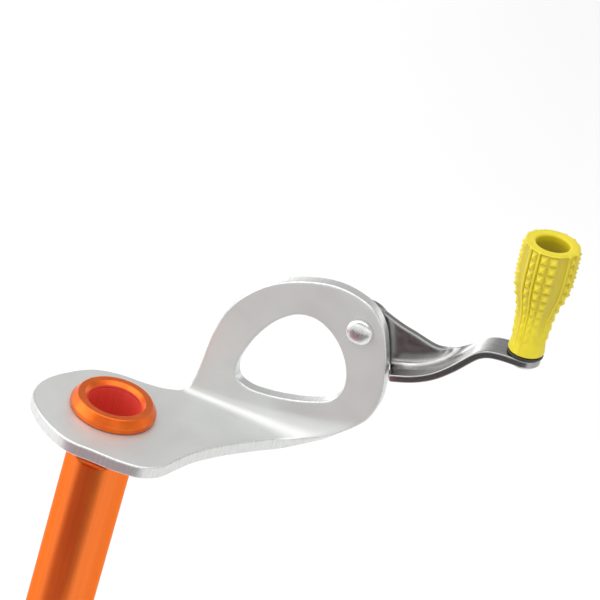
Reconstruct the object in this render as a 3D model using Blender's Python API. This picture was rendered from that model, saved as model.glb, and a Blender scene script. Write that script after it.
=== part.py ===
"""Tubular ice screw with a folded hanger plate and a folding crank.

Frame: the tube axis is Z and the head is up. The hanger's underside is Z = 0.
The upright fin of the hanger runs along +X, and its front face is towards -Y.
All dimensions below are in millimetres, and are scaled to metres on output.
"""

import math

import bmesh
import bpy
from mathutils import Vector
from mathutils.geometry import delaunay_2d_cdt

MM = 0.001

# Hanger plate: one flat blank, folded by 90 degrees into a base lobe and a fin.
PLATE_T = 3.5
PLATE_EDGE = 0.4
FACE_MARGIN = 0.35
FIN_FRONT_Y = 22.0
BEND_X0 = 13.0
BEND_SPAN = 47.0
BEND_R_MIN = 2.4
BEND_R_GROWTH = 9.5
BEND_POWER = 1.8

# Tube: bore, outside, two flats that key it to the hanger, and its thread.
TUBE_R = 8.5
BORE_R = 6.8
FLAT_Y = 7.5
FLAT_FULL_Z = -9.0
FLAT_END_Z = -9.6
TUBE_TOP_Z = 5.3
TUBE_END_Z = -112.0
SPIGOT_R = 7.6
SPIGOT_LEN = 6.0
THREAD_TOP_Z = -57.0
THREAD_END_Z = -110.6
THREAD_PITCH = 5.0
THREAD_H = 1.4
THREAD_STEPS = (0.0, 0.50, 0.66, 0.84)
THREAD_LIFT = (0.0, 0.0, 1.0, 1.0)
HOLE_GAP = 0.2

# Cutting tip: a crown with four teeth, seated in the tube's end.
TIP_END_Z = -130.0
TIP_BODY_Z = -124.0
TIP_R = 8.6
TIP_TEETH = 4
TOOTH_H = 5.0
TOOTH_SINK = 1.0

# Collar pressed over the tube's head.
COLLAR_Z = PLATE_T + 0.15
COLLAR_H = 3.4
COLLAR_R = 11.0
COLLAR_RIM_R = 9.6
COLLAR_BORE_R = 6.85
COLLAR_COUNTERBORE = 1.8

# Crank pivot.
PIVOT_X = 50.3
PIVOT_Z = 38.3
PIVOT_PIN_R = 2.0
PIVOT_HOLE_R = 2.08
DOME_R = 3.45
DOME_H = 1.7
STACK_GAP = 0.15
FRICTION_WASHER_T = 0.5
BACK_WASHER_T = 0.6
WASHER_R = 5.2

# Crank arm: a pressed strip whose inner end folds up into a web.
ARM_T = 2.0
ARM_W = 8.4
ARM_EDGE = 0.25
ARM_CROWN = 0.05
ARM_BEND_R = 1.6
ARM_EYE_R = 6.4
FOLD_FULL_X = 72.0
FOLD_NONE_X = 80.0

# Knob and its axle.
KNOB_X = 90.8
KNOB_Z = 48.0
KNOB_TILT = math.radians(4.0)
KNOB_BASE = 2.0
KNOB_L = 30.5
KNOB_HOLLOW_R = 4.25
KNOB_FLOOR = 15.0
AXLE_R = 2.0
AXLE_BORE_R = 2.08
STUD_PITCH = 2.6
STUD_ROWS = 10
STUD_START = 3.9
KNOB_PANELS = 4
PANEL_PHASE = -126.25
# One panel of the grip: each column's angle in degrees, its kind and its height, where
# 1 is the envelope of the studs' peaks and 0 is the valleys between them.
PANEL = (
    (-2.2, "line", 0.45),
    (2.2, "line", 0.45),
    (3.6, "line", 0.0),
    (11.25, "stud", 0.0),
    (18.9, "line", 0.0),
    (20.3, "line", 0.45),
    (24.7, "line", 0.45),
    (26.1, "line", 0.0),
    (35.3, "stud", 0.0),
    (45.4, "line", 0.0),
    (56.2, "stud", 0.0),
    (67.0, "line", 0.0),
    (77.0, "line", -0.25),
    (86.4, "line", 0.0),
)
KNOB_PROFILE = (
    (0.0, 4.7),
    (4.3, 4.6),
    (7.0, 4.8),
    (11.5, 5.3),
    (14.4, 6.1),
    (16.4, 6.8),
    (18.7, 7.35),
    (21.6, 7.6),
    (26.0, 7.68),
    (30.5, 7.6),
)

FIN_BACK_Y = FIN_FRONT_Y + PLATE_T
ARM_Y0 = FIN_BACK_Y + 2 * STACK_GAP + FRICTION_WASHER_T
ARM_Y1 = ARM_Y0 + ARM_T
STRIP_Y0 = ARM_Y1 - ARM_W
STRIP_MID_Y = ARM_Y1 - ARM_W / 2


# ---------------------------------------------------------------- materials


def make_material(name, colour, roughness, metallic):
    mat = bpy.data.materials.new(name)
    mat.use_nodes = True
    shader = mat.node_tree.nodes["Principled BSDF"]
    shader.inputs["Base Color"].default_value = (*colour, 1.0)
    shader.inputs["Roughness"].default_value = roughness
    shader.inputs["Metallic"].default_value = metallic
    return mat


# ------------------------------------------------------------ mesh helpers


def add_node(name, verts, faces, mat, origin, sharp_deg=32.0):
    """One object from points in millimetres, with its origin where it is asked for."""
    ox, oy, oz = origin
    mesh = bpy.data.meshes.new(name)
    points = [((x - ox) * MM, (y - oy) * MM, (z - oz) * MM) for x, y, z in verts]
    mesh.from_pydata(points, [], faces)
    work = bmesh.new()
    work.from_mesh(mesh)
    bmesh.ops.triangulate(work, faces=[f for f in work.faces if len(f.verts) > 4])
    bmesh.ops.recalc_face_normals(work, faces=work.faces)
    work.to_mesh(mesh)
    work.free()
    mesh.shade_smooth()
    mesh.set_sharp_from_angle(angle=math.radians(sharp_deg))
    mesh.materials.append(mat)
    obj = bpy.data.objects.new(name, mesh)
    obj.location = (ox * MM, oy * MM, oz * MM)
    bpy.context.scene.collection.objects.link(obj)
    return obj


def spline(points, steps, closed=True):
    """Points on a centripetal Catmull-Rom curve through the given ones."""
    pts = [Vector(p) for p in points]
    count = len(pts)
    out = []
    spans = count if closed else count - 1
    for i in range(spans):
        if closed:
            p0, p1, p2, p3 = (pts[(i + k - 1) % count] for k in range(4))
        else:
            p1, p2 = pts[i], pts[i + 1]
            p0 = pts[i - 1] if i else 2 * p1 - p2
            p3 = pts[i + 2] if i + 2 < count else 2 * p2 - p1
        t1 = (p1 - p0).length ** 0.5
        t2 = t1 + (p2 - p1).length ** 0.5
        t3 = t2 + (p3 - p2).length ** 0.5
        for k in range(steps):
            t = t1 + (t2 - t1) * k / steps
            a1 = p0 * (t1 - t) / t1 + p1 * t / t1
            a2 = p1 * (t2 - t) / (t2 - t1) + p2 * (t - t1) / (t2 - t1)
            a3 = p2 * (t3 - t) / (t3 - t2) + p3 * (t - t2) / (t3 - t2)
            b1 = a1 * (t2 - t) / t2 + a2 * t / t2
            b2 = a2 * (t3 - t) / (t3 - t1) + a3 * (t - t1) / (t3 - t1)
            c = b1 * (t2 - t) / (t2 - t1) + b2 * (t - t1) / (t2 - t1)
            out.append(tuple(c))
    if not closed:
        out.append(tuple(pts[-1]))
    return out


def circle(cx, cy, radius, count):
    turn = 2 * math.pi / count
    return [
        (cx + radius * math.cos(i * turn), cy + radius * math.sin(i * turn))
        for i in range(count)
    ]


def signed_area(loop):
    total = 0.0
    for (x0, y0), (x1, y1) in zip(loop, loop[1:] + loop[:1]):
        total += x0 * y1 - x1 * y0
    return total / 2


def inset(loop, amount):
    """The loop moved by an amount to its left, which is inwards if it runs anticlockwise."""
    count = len(loop)
    out = []
    for i, (x, y) in enumerate(loop):
        ax, ay = loop[i - 1]
        bx, by = loop[(i + 1) % count]
        d0 = Vector((x - ax, y - ay)).normalized()
        d1 = Vector((bx - x, by - y)).normalized()
        n0 = Vector((-d0.y, d0.x))
        n1 = Vector((-d1.y, d1.x))
        n = (n0 + n1).normalized()
        reach = amount / max(0.5, n.dot(n0))
        out.append((x + n.x * reach, y + n.y * reach))
    return out


def inside(point, loop):
    x, y = point
    hit = False
    for (x0, y0), (x1, y1) in zip(loop, loop[1:] + loop[:1]):
        if (y0 > y) != (y1 > y) and x < x0 + (y - y0) * (x1 - x0) / (y1 - y0):
            hit = not hit
    return hit


def gap_to(point, loop):
    p = Vector(point)
    best = 1e9
    for a, b in zip(loop, loop[1:] + loop[:1]):
        a, b = Vector(a), Vector(b)
        d = b - a
        t = min(1.0, max(0.0, (p - a).dot(d) / d.length_squared))
        best = min(best, (p - a - d * t).length)
    return best


def plate(loops, extra, thickness, edge, fold):
    """A folded sheet: an outline (first, anticlockwise) with holes (clockwise), its edges chamfered."""
    loops = [
        loop if (signed_area(loop) > 0) == (k == 0) else loop[::-1]
        for k, loop in enumerate(loops)
    ]
    small = [inset(loop, edge) for loop in loops]
    keep = [
        p
        for p in extra
        if inside(p, loops[0])
        and not any(inside(p, hole) for hole in loops[1:])
        and min(gap_to(p, loop) for loop in loops) > 2.2 * edge
    ]
    flat, edges = [], []
    for loop in small:
        start = len(flat)
        flat += [Vector(p) for p in loop]
        edges += [(start + i, start + (i + 1) % len(loop)) for i in range(len(loop))]
    rim_count = len(flat)
    flat += [Vector(p) for p in keep]
    found = delaunay_2d_cdt(flat, edges, [], 0, 1e-6, True)
    coords, origins = found[0], found[3]
    tris = []
    for t in found[2]:
        mid = sum((coords[i] for i in t), Vector((0.0, 0.0))) / 3
        if inside(mid, small[0]) and not any(inside(mid, hole) for hole in small[1:]):
            tris.append(t)
    index = {}
    for new, old in enumerate(origins):
        for o in old:
            index[o] = new
    half = thickness / 2
    count = len(coords)
    verts = [fold(c.x, c.y, half) for c in coords]
    verts += [fold(c.x, c.y, -half) for c in coords]
    faces = [tuple(t) for t in tris]
    faces += [tuple(count + i for i in reversed(t)) for t in tris]
    start = 0
    for loop in loops:
        size = len(loop)
        upper = len(verts)
        verts += [fold(x, y, half - edge) for x, y in loop]
        lower = len(verts)
        verts += [fold(x, y, edge - half) for x, y in loop]
        for i in range(size):
            j = (i + 1) % size
            ti, tj = index[start + i], index[start + j]
            faces.append((ti, upper + i, upper + j, tj))
            faces.append((upper + i, lower + i, lower + j, upper + j))
            faces.append((lower + i, count + ti, count + tj, lower + j))
        start += size
    assert start == rim_count
    return verts, faces


def ring_mesh(rings, closed_loop=True):
    """Quads between successive rings of equal size. A closed loop joins the last ring to the first."""
    size = len(rings[0])
    verts = [p for ring in rings for p in ring]
    faces = []
    last = len(rings) if closed_loop else len(rings) - 1
    for r in range(last):
        a, b = r * size, ((r + 1) % len(rings)) * size
        for i in range(size):
            j = (i + 1) % size
            faces.append((a + i, a + j, b + j, b + i))
    return verts, faces


def turned(profile, count):
    """A body of revolution about Z from a closed (radius, height) profile. Zero radius makes a pole."""
    turn = 2 * math.pi / count
    verts, rows = [], []
    for r, z in profile:
        if r < 1e-6:
            rows.append([len(verts)])
            verts.append((0.0, 0.0, z))
        else:
            rows.append(list(range(len(verts), len(verts) + count)))
            verts += [
                (r * math.cos(i * turn), r * math.sin(i * turn), z)
                for i in range(count)
            ]
    faces = []
    for a, b in zip(rows, rows[1:] + rows[:1]):
        if len(a) == 1 and len(b) == 1:
            continue
        for i in range(count):
            j = (i + 1) % count
            face = [a[i % len(a)], a[j % len(a)], b[j % len(b)], b[i % len(b)]]
            faces.append(tuple(dict.fromkeys(face)))
    return verts, faces


def along_y(points, x, y, z):
    """Points about Z turned so that their axis runs along +Y from the given place."""
    return [(x + px, y + pz, z - py) for px, py, pz in points]


def about_knob(points):
    """Points in the knob's own frame, put on its leaning axle."""
    s, c = math.sin(KNOB_TILT), math.cos(KNOB_TILT)
    return [
        (KNOB_X + x * c - z * s, STRIP_MID_Y + y, KNOB_Z + x * s + z * c)
        for x, y, z in points
    ]


# ------------------------------------------------------------------ hanger


def bend_radius(x):
    """The inside radius of the hanger's fold, which opens out along X."""
    along = max(0.0, x - BEND_X0) / BEND_SPAN
    return BEND_R_MIN + BEND_R_GROWTH * along**BEND_POWER


def fold_hanger(x, s, n):
    """Folds a point of the flat blank. s runs across the fold, n through the sheet."""
    r = bend_radius(x)
    mid = r + PLATE_T / 2
    start = FIN_FRONT_Y - r
    if s <= start:
        return (x, s, PLATE_T / 2 + n)
    angle = (s - start) / mid
    if angle < math.pi / 2:
        reach = mid - n
        return (x, start + reach * math.sin(angle), PLATE_T + r - reach * math.cos(angle))
    rise = s - start - mid * math.pi / 2
    return (x, FIN_FRONT_Y + PLATE_T / 2 - n, PLATE_T + r + rise)


def on_fin(x, z):
    """Where a point of the finished fin lies on the flat blank."""
    r = bend_radius(x)
    mid = r + PLATE_T / 2
    return (x, FIN_FRONT_Y - r + mid * math.pi / 2 + z - PLATE_T - r)


def tube_section(radius, flat_y, long_arc=12, short_arc=6):
    """A round section with two flats, as points with even steps whose corners are exact."""
    corner = math.asin(flat_y / radius)
    angles = [-corner + 2 * corner * i / long_arc for i in range(long_arc)]
    angles += [
        corner + (math.pi - 2 * corner) * i / short_arc for i in range(short_arc)
    ]
    angles += [a + math.pi for a in angles]
    return angles


def keyed(radius, flat_y, angles):
    out = []
    for a in angles:
        s = abs(math.sin(a))
        r = min(radius, flat_y / s) if s > 1e-9 else radius
        out.append((r * math.cos(a), r * math.sin(a)))
    return out


def make_hanger(mat):
    front_edge = [
        (-19.5, -1.6),
        (-18.9, -6.8),
        (-15.2, -12.4),
        (-9.4, -17.3),
        (-3.6, -19.9),
        (2.5, -19.9),
        (9.5, -19.8),
        (15.0, -18.6),
        (18.9, -15.3),
        (21.2, -9.9),
        (23.6, -4.0),
        (28.2, 3.5),
        (33.6, 10.4),
        (39.4, 16.8),
        (44.6, 20.3),
        (50.1, 23.4),
        (55.3, 27.7),
        (58.5, 31.6),
    ]
    fin_edge = [
        (60.1, 20.5),
        (60.1, 25.1),
        (59.4, 29.5),
        (57.8, 35.6),
        (55.4, 41.4),
        (51.6, 45.3),
        (46.3, 47.1),
        (40.5, 47.3),
        (33.5, 45.4),
        (26.4, 41.7),
        (20.4, 35.8),
        (16.7, 29.2),
        (14.9, 21.4),
        (14.2, 13.0),
        (13.6, 7.6),
    ]
    back_edge = [
        (12.5, 23.4),
        (10.6, 20.3),
        (7.2, 18.3),
        (2.5, 17.2),
        (-4.4, 16.5),
        (-10.6, 14.0),
        (-15.0, 9.0),
        (-18.2, 3.4),
    ]
    eye = [
        (24.0, 11.9),
        (27.2, 10.5),
        (31.5, 10.6),
        (37.3, 11.7),
        (43.5, 13.7),
        (48.4, 16.4),
        (50.6, 20.3),
        (50.3, 25.3),
        (47.6, 30.9),
        (43.6, 34.9),
        (38.9, 36.9),
        (34.3, 36.3),
        (30.0, 33.0),
        (26.4, 27.7),
        (23.9, 21.5),
        (22.7, 15.6),
    ]
    outline = front_edge + [on_fin(x, z) for x, z in fin_edge] + back_edge
    loops = [inset(spline(outline, 3), -FACE_MARGIN)]
    loops.append(inset(spline([on_fin(x, z) for x, z in eye], 3), FACE_MARGIN / 2))
    angles = tube_section(TUBE_R + HOLE_GAP, FLAT_Y + HOLE_GAP)
    loops.append(keyed(TUBE_R + HOLE_GAP, FLAT_Y + HOLE_GAP, angles))
    loops.append([on_fin(x, z) for x, z in circle(PIVOT_X, PIVOT_Z, PIVOT_HOLE_R, 20)])
    extra = []
    rows = 8
    for i in range(26):
        x = 11.0 + 2.0 * i
        r = bend_radius(x)
        start = FIN_FRONT_Y - r
        length = (r + PLATE_T / 2) * math.pi / 2
        extra += [(x, start + length * k / rows) for k in range(rows + 1)]
    verts, faces = plate(loops, extra, PLATE_T, PLATE_EDGE, fold_hanger)
    return add_node("hanger_plate", verts, faces, mat, (0, 0, 0))


# --------------------------------------------------------- tube, tip, collar


def thread_rows(z_top, z_end, radius, angles, fade_top, fade_end):
    """Columns of points down a threaded length from the top. Falling angles make it right-handed."""
    columns = []
    turns = 2 * math.pi
    per = len(THREAD_STEPS)
    pitches = int((z_top - z_end) / THREAD_PITCH) - 1
    for a in angles:
        along = abs(a - angles[0]) / turns
        column = []
        for i in range(pitches * per + 1):
            turn = i // per + along
            z = z_top - THREAD_PITCH * (turn + THREAD_STEPS[i % per])
            grown = min(1.0, turn / fade_top, (pitches - turn) / fade_end)
            lift = THREAD_H * THREAD_LIFT[i % per] * max(0.0, grown)
            column.append(((radius + lift) * math.cos(a), (radius + lift) * math.sin(a), z))
        columns.append(column)
    return columns, per


def join_thread(verts, faces, upper, columns, per, lower):
    """Joins a ring above, a right-handed helical grid and a ring below, of one column count."""
    count = len(columns)
    upper, lower = upper[::-1], lower[::-1]
    index = []
    for column in columns:
        index.append(list(range(len(verts), len(verts) + len(column))))
        verts += column
    depth = len(columns[0])
    for j in range(count - 1):
        for i in range(depth - 1):
            a, b = index[j], index[j + 1]
            faces.append((a[i], b[i], b[i + 1], a[i + 1]))
        faces.append((upper[j], upper[j + 1], index[j + 1][0], index[j][0]))
        faces.append((lower[j], lower[j + 1], index[j + 1][-1], index[j][-1]))
    a, b = index[-1], index[0]
    for i in range(depth - 1 - per):
        faces.append((a[i], b[i + per], b[i + per + 1], a[i + 1]))
    faces.append((upper[-1], upper[0], *b[: per + 1], a[0]))
    faces.append((lower[-1], lower[0], b[-1], *a[depth - 1 - per :]))


def ring_of(verts, points, z):
    start = len(verts)
    verts += [(x, y, z) for x, y in points]
    return list(range(start, len(verts)))


def bridge(faces, a, b):
    count = len(a)
    for i in range(count):
        j = (i + 1) % count
        faces.append((a[i], a[j], b[j], b[i]))


def make_tube(mat):
    angles = tube_section(TUBE_R, FLAT_Y)
    keyed_ring = keyed(TUBE_R, FLAT_Y, angles)
    round_ring = [(TUBE_R * math.cos(a), TUBE_R * math.sin(a)) for a in angles]
    bore = [(BORE_R * math.cos(a), BORE_R * math.sin(a)) for a in angles]
    socket = [(SPIGOT_R * math.cos(a), SPIGOT_R * math.sin(a)) for a in angles]
    verts, faces = [], []
    top_in = ring_of(verts, bore, TUBE_TOP_Z)
    top_out = ring_of(verts, keyed_ring, TUBE_TOP_Z)
    flat_low = ring_of(verts, keyed_ring, FLAT_FULL_Z)
    full = ring_of(verts, round_ring, FLAT_END_Z)
    upper = ring_of(verts, round_ring, THREAD_TOP_Z + 1.0)
    lower = ring_of(verts, round_ring, TUBE_END_Z + 0.4)
    chamfer = [(x * (1 - 0.4 / TUBE_R), y * (1 - 0.4 / TUBE_R)) for x, y in round_ring]
    end_out = ring_of(verts, chamfer, TUBE_END_Z)
    end_in = ring_of(verts, socket, TUBE_END_Z)
    socket_top = ring_of(verts, socket, TUBE_END_Z + SPIGOT_LEN + 0.3)
    bore_low = ring_of(verts, bore, TUBE_END_Z + SPIGOT_LEN + 0.3)
    chain = [bore_low, top_in, top_out, flat_low, full, upper]
    for a, b in zip(chain, chain[1:]):
        bridge(faces, a, b)
    chain = [lower, end_out, end_in, socket_top, bore_low]
    for a, b in zip(chain, chain[1:]):
        bridge(faces, a, b)
    columns, per = thread_rows(
        THREAD_TOP_Z, THREAD_END_Z, TUBE_R, angles[::-1], 0.8, 0.35
    )
    join_thread(verts, faces, upper, columns, per, lower)
    return add_node("screw_tube", verts, faces, mat, (0, 0, 0))


def make_tip(mat):
    """Steel crown: a spigot inside the tube, a body with a thread lead, and four raked teeth."""
    steps = 9
    count = TIP_TEETH * steps
    angles = [2 * math.pi * i / count for i in range(count)]

    def ring(radius):
        return [(radius * math.cos(a), radius * math.sin(a)) for a in angles]

    verts, faces = [], []
    shoulder_z = TUBE_END_Z - 0.3
    spigot_z = TUBE_END_Z + SPIGOT_LEN
    bore_high = ring_of(verts, ring(BORE_R - 0.1), spigot_z)
    spigot_high = ring_of(verts, ring(SPIGOT_R - 0.15), spigot_z)
    spigot_low = ring_of(verts, ring(SPIGOT_R - 0.15), shoulder_z)
    shoulder = ring_of(verts, ring(TIP_R - 0.3), shoulder_z)
    body = ring_of(verts, ring(TIP_R), shoulder_z - 0.3)
    skirt = ring_of(verts, ring(TIP_R), TIP_BODY_Z)
    bore_low = ring_of(verts, ring(BORE_R - 0.1), TIP_BODY_Z)
    chain = [bore_low, bore_high, spigot_high, spigot_low, shoulder, body]
    for a, b in zip(chain, chain[1:]):
        bridge(faces, a, b)
    columns, per = thread_rows(
        shoulder_z - 0.5, TIP_BODY_Z + 0.2, TIP_R, angles[::-1], 0.25, 0.4
    )
    join_thread(verts, faces, body, columns, per, skirt)
    out_low, in_low, out_high, in_high = {}, {}, {}, {}
    r_out, r_in = TIP_R - 0.15, BORE_R + 0.25

    def corner(radius, angle, z):
        verts.append((radius * math.cos(angle), radius * math.sin(angle), z))
        return len(verts) - 1

    for i, a in enumerate(angles):
        step = i % steps
        rise = TOOTH_H * (step / steps) ** 0.85
        z = TIP_END_Z + rise
        out_low[i] = corner(r_out, a, z)
        in_low[i] = corner(r_in, a, z + TOOTH_SINK)
        if step == 0:
            z = TIP_END_Z + TOOTH_H
            out_high[i] = corner(r_out, a, z)
            in_high[i] = corner(r_in, a, z + TOOTH_SINK)
    for i in range(count):
        j = (i + 1) % count
        end_out = out_high[j] if j % steps == 0 else out_low[j]
        end_in = in_high[j] if j % steps == 0 else in_low[j]
        outer = [skirt[i], skirt[j], end_out, out_low[i]]
        inner = [bore_low[i], bore_low[j], end_in, in_low[i]]
        if i % steps == 0:
            outer.append(out_high[i])
            inner.append(in_high[i])
            faces.append((out_low[i], out_high[i], in_high[i], in_low[i]))
        faces.append(tuple(outer))
        faces.append(tuple(reversed(inner)))
        faces.append((out_low[i], end_out, end_in, in_low[i]))
    return add_node("cutting_tip", verts, faces, mat, (0, 0, 0))


def make_collar(mat):
    z0 = COLLAR_Z
    z1 = COLLAR_Z + COLLAR_H
    seat = z0 + COLLAR_COUNTERBORE
    wide = TUBE_R + 0.15
    profile = [
        (wide, z0),
        (COLLAR_R - 0.35, z0),
        (COLLAR_R, z0 + 0.35),
        (COLLAR_R, z0 + 1.3),
        (COLLAR_RIM_R + 0.25, z1 - 0.2),
        (COLLAR_RIM_R - 0.15, z1),
        (COLLAR_BORE_R + 0.95, z1),
        (COLLAR_BORE_R + 0.7, z1 - 0.1),
        (COLLAR_BORE_R, z1 - 0.95),
        (COLLAR_BORE_R, seat),
        (wide, seat),
    ]
    verts, faces = turned(profile, 56)
    return add_node("head_collar", verts, faces, mat, (0, 0, 0))


# ------------------------------------------------------------------- pivot


def dome(radius, height, base, steps, sign):
    """Profile points of a shallow cap, from its edge to the axis."""
    edge = 0.35 * height
    out = [(radius, base), (radius, base + sign * edge)]
    for i in range(1, steps):
        a = math.pi / 2 * i / steps
        out.append((radius * math.cos(a), base + sign * (edge + (height - edge) * math.sin(a))))
    out.append((0.0, base + sign * height))
    return out


def make_rivet(mat):
    """Domed head in front of the fin, shank through the stack, set head behind it."""
    front = FIN_FRONT_Y - 0.1
    back = ARM_Y1 + STACK_GAP + BACK_WASHER_T + 0.1
    head = dome(DOME_R, DOME_H, front, 5, -1)
    tail = dome(DOME_R - 0.2, 1.3, back, 4, 1)
    profile = head[::-1] + [(PIVOT_PIN_R, front), (PIVOT_PIN_R, back)] + tail
    verts, faces = turned(profile, 32)
    verts = along_y(verts, PIVOT_X, 0.0, PIVOT_Z)
    return add_node("pivot_rivet", verts, faces, mat, (PIVOT_X, FIN_FRONT_Y, PIVOT_Z))


def make_washer(name, mat, inner, outer, start, thick, place, origin, edge=0.12):
    profile = [
        (inner, start),
        (outer - edge, start),
        (outer, start + edge),
        (outer, start + thick - edge),
        (outer - edge, start + thick),
        (inner, start + thick),
    ]
    verts, faces = turned(profile, 40)
    return add_node(name, place(verts), faces, mat, origin)


def make_pivot_washers(mat):
    def place(points):
        return along_y(points, PIVOT_X, 0.0, PIVOT_Z)

    inner = PIVOT_HOLE_R
    front = FIN_BACK_Y + STACK_GAP
    back = ARM_Y1 + STACK_GAP
    origin = (PIVOT_X, front, PIVOT_Z)
    make_washer(
        "pivot_friction_washer", mat, inner, WASHER_R, front, FRICTION_WASHER_T, place, origin
    )
    origin = (PIVOT_X, back, PIVOT_Z)
    make_washer(
        "pivot_backing_washer", mat, inner, 4.6, back, BACK_WASHER_T, place, origin
    )


# --------------------------------------------------------------- crank arm


def arm_line():
    """The middle line of the arm's strip, seen from the front, as close points."""
    points = [
        (40.0, 23.2),
        (52.0, 26.9),
        (61.3, 30.2),
        (66.8, 32.4),
        (71.3, 35.3),
        (75.4, 39.5),
        (78.4, 43.4),
        (80.3, 45.6),
        (82.4, 46.9),
        (85.3, 47.6),
        (KNOB_X, KNOB_Z),
        (96.4, KNOB_Z + 5.6 * math.tan(KNOB_TILT)),
    ]
    return spline(points, 8, closed=False)


class Arm:
    """Folds the arm's flat blank: the strip runs along its line, and a web folds up from its back edge."""

    def __init__(self):
        self.line = arm_line()
        self.fold_start = ARM_W - ARM_T - ARM_BEND_R
        self.mid = ARM_BEND_R + ARM_T / 2
        self.length = self.mid * math.pi / 2

    def at(self, x):
        """Height of the line and its upward normal at this X."""
        line = self.line
        for (x0, z0), (x1, z1) in zip(line, line[1:]):
            if x <= x1 or (x1, z1) == line[-1]:
                z = z0 + (z1 - z0) * (x - x0) / (x1 - x0)
                break
        ahead = self.height(x + 0.35)
        behind = self.height(x - 0.35)
        size = math.hypot(0.7, ahead - behind)
        return z, (behind - ahead) / size, 0.7 / size

    def height(self, x):
        line = self.line
        for (x0, z0), (x1, z1) in zip(line, line[1:]):
            if x <= x1 or (x1, z1) == line[-1]:
                return z0 + (z1 - z0) * (x - x0) / (x1 - x0)

    def full(self, x):
        """How far the fold has been made: 1 is a right angle, 0 is flat."""
        t = (FOLD_NONE_X - x) / (FOLD_NONE_X - FOLD_FULL_X)
        t = min(1.0, max(0.0, t))
        return t * t * (3 - 2 * t)

    def fold(self, x, s, n):
        z, nx, nz = self.at(x)
        if s <= self.fold_start:
            return (x + nx * n, STRIP_Y0 + s, z + nz * n)
        turn = self.full(x) * math.pi / 2
        across = min(s - self.fold_start, self.length)
        if turn > 1e-4:
            radius = self.length / turn
            angle = across / radius
            y = self.fold_start + (radius - n) * math.sin(angle)
            up = radius - (radius - n) * math.cos(angle)
        else:
            angle = 0.0
            y = self.fold_start + across
            up = n
        px, py, pz = x + nx * up, STRIP_Y0 + y, z + nz * up
        rest = s - self.fold_start - self.length
        if rest > 0:
            py += rest * math.cos(angle)
            pz += rest * math.sin(angle)
        return (px, py, pz)

    def on_web(self, x, z):
        """Where a point of the finished web lies on the blank."""
        u = x
        for _ in range(12):
            _, nx, _ = self.at(u)
            u = x - nx * self.mid
        base, _, nz = self.at(u)
        return (u, self.fold_start + self.length + z - base - nz * self.mid)


def make_arm(mat):
    arm = Arm()
    flat = arm.fold_start + arm.length
    end_x = KNOB_X
    end_s = ARM_W / 2
    outline = [(61.1, 0.5), (61.7, 0.0)]
    outline += [
        (63.2 + 1.4 * i, -ARM_CROWN * math.sin(math.pi * (i + 1) / 20))
        for i in range(19)
    ]
    for i in range(15):
        a = -math.pi / 2 + math.pi * i / 14
        outline.append((end_x + end_s * math.cos(a), end_s + end_s * math.sin(a)))
    outline += [(88.4 - 1.4 * i, ARM_W) for i in range(7)]
    top = [(69.6, 39.8), (65.0, 40.5), (60.0, 41.5), (56.8, 42.4)]
    top = [(78.0, 8.5), (75.2, 9.2)] + [arm.on_web(x, z) for x, z in top]
    outline += spline([outline[-1]] + top, 3, closed=False)[1:]
    eye = []
    for i in range(19):
        a = math.radians(50.0 + 13.0 * i)
        eye.append((PIVOT_X + ARM_EYE_R * math.cos(a), PIVOT_Z + ARM_EYE_R * math.sin(a)))
    outline += [arm.on_web(x, z) for x, z in eye]
    outline += [arm.on_web(54.6, 31.4), (57.0, flat - 0.9), (58.6, flat - 1.7)]
    outline += [(60.1, flat - 2.3), (60.7, flat - 3.1), (60.8, 2.2)]
    hole = [arm.on_web(x, z) for x, z in circle(PIVOT_X, PIVOT_Z, PIVOT_HOLE_R, 20)]
    pin = circle(KNOB_X, ARM_W / 2, AXLE_BORE_R, 20)
    extra = []
    for i in range(24):
        x = 61.0 + 1.4 * i
        extra += [(x, 1.6), (x, 3.2)]
        extra += [(x, arm.fold_start + arm.length * k / 5) for k in range(6)]
    extra += [(x, 6.6) for x in (80.0, 81.4, 82.8, 84.2)]
    extra += [arm.on_web(x, z) for x, z in ((64.0, 38.0), (67.0, 39.0), (61.0, 38.5))]
    verts, faces = plate([outline, hole, pin], extra, ARM_T, ARM_EDGE, arm.fold)
    origin = (PIVOT_X, (ARM_Y0 + ARM_Y1) / 2, PIVOT_Z)
    return add_node("crank_arm", verts, faces, mat, origin)


# -------------------------------------------------------------------- knob


def knob_radius(z):
    for (z0, r0), (z1, r1) in zip(KNOB_PROFILE, KNOB_PROFILE[1:]):
        if z <= z1:
            return r0 + (r1 - r0) * (z - z0) / (z1 - z0)
    return KNOB_PROFILE[-1][1]


def stud_height(z):
    grown = min(1.0, max(0.0, (z - 6.0) / 11.0))
    return 0.4 + 0.75 * grown


def knob_columns():
    """(angle, kind, height) of each column of the grip, all the way round."""
    return [
        (math.radians(PANEL_PHASE + p * 360.0 / KNOB_PANELS + angle), kind, height)
        for p in range(KNOB_PANELS)
        for angle, kind, height in PANEL
    ]


def stud_faces(face, peaks):
    """A face of the grip, cut in two from its corner at a stud's peak if it has one."""
    for corner in face:
        if corner in peaks:
            k = face.index(corner)
            face = face[k:] + face[:k]
            return [tuple(face[:3]), (face[0], face[2], face[3])]
    return [tuple(face)]


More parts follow.
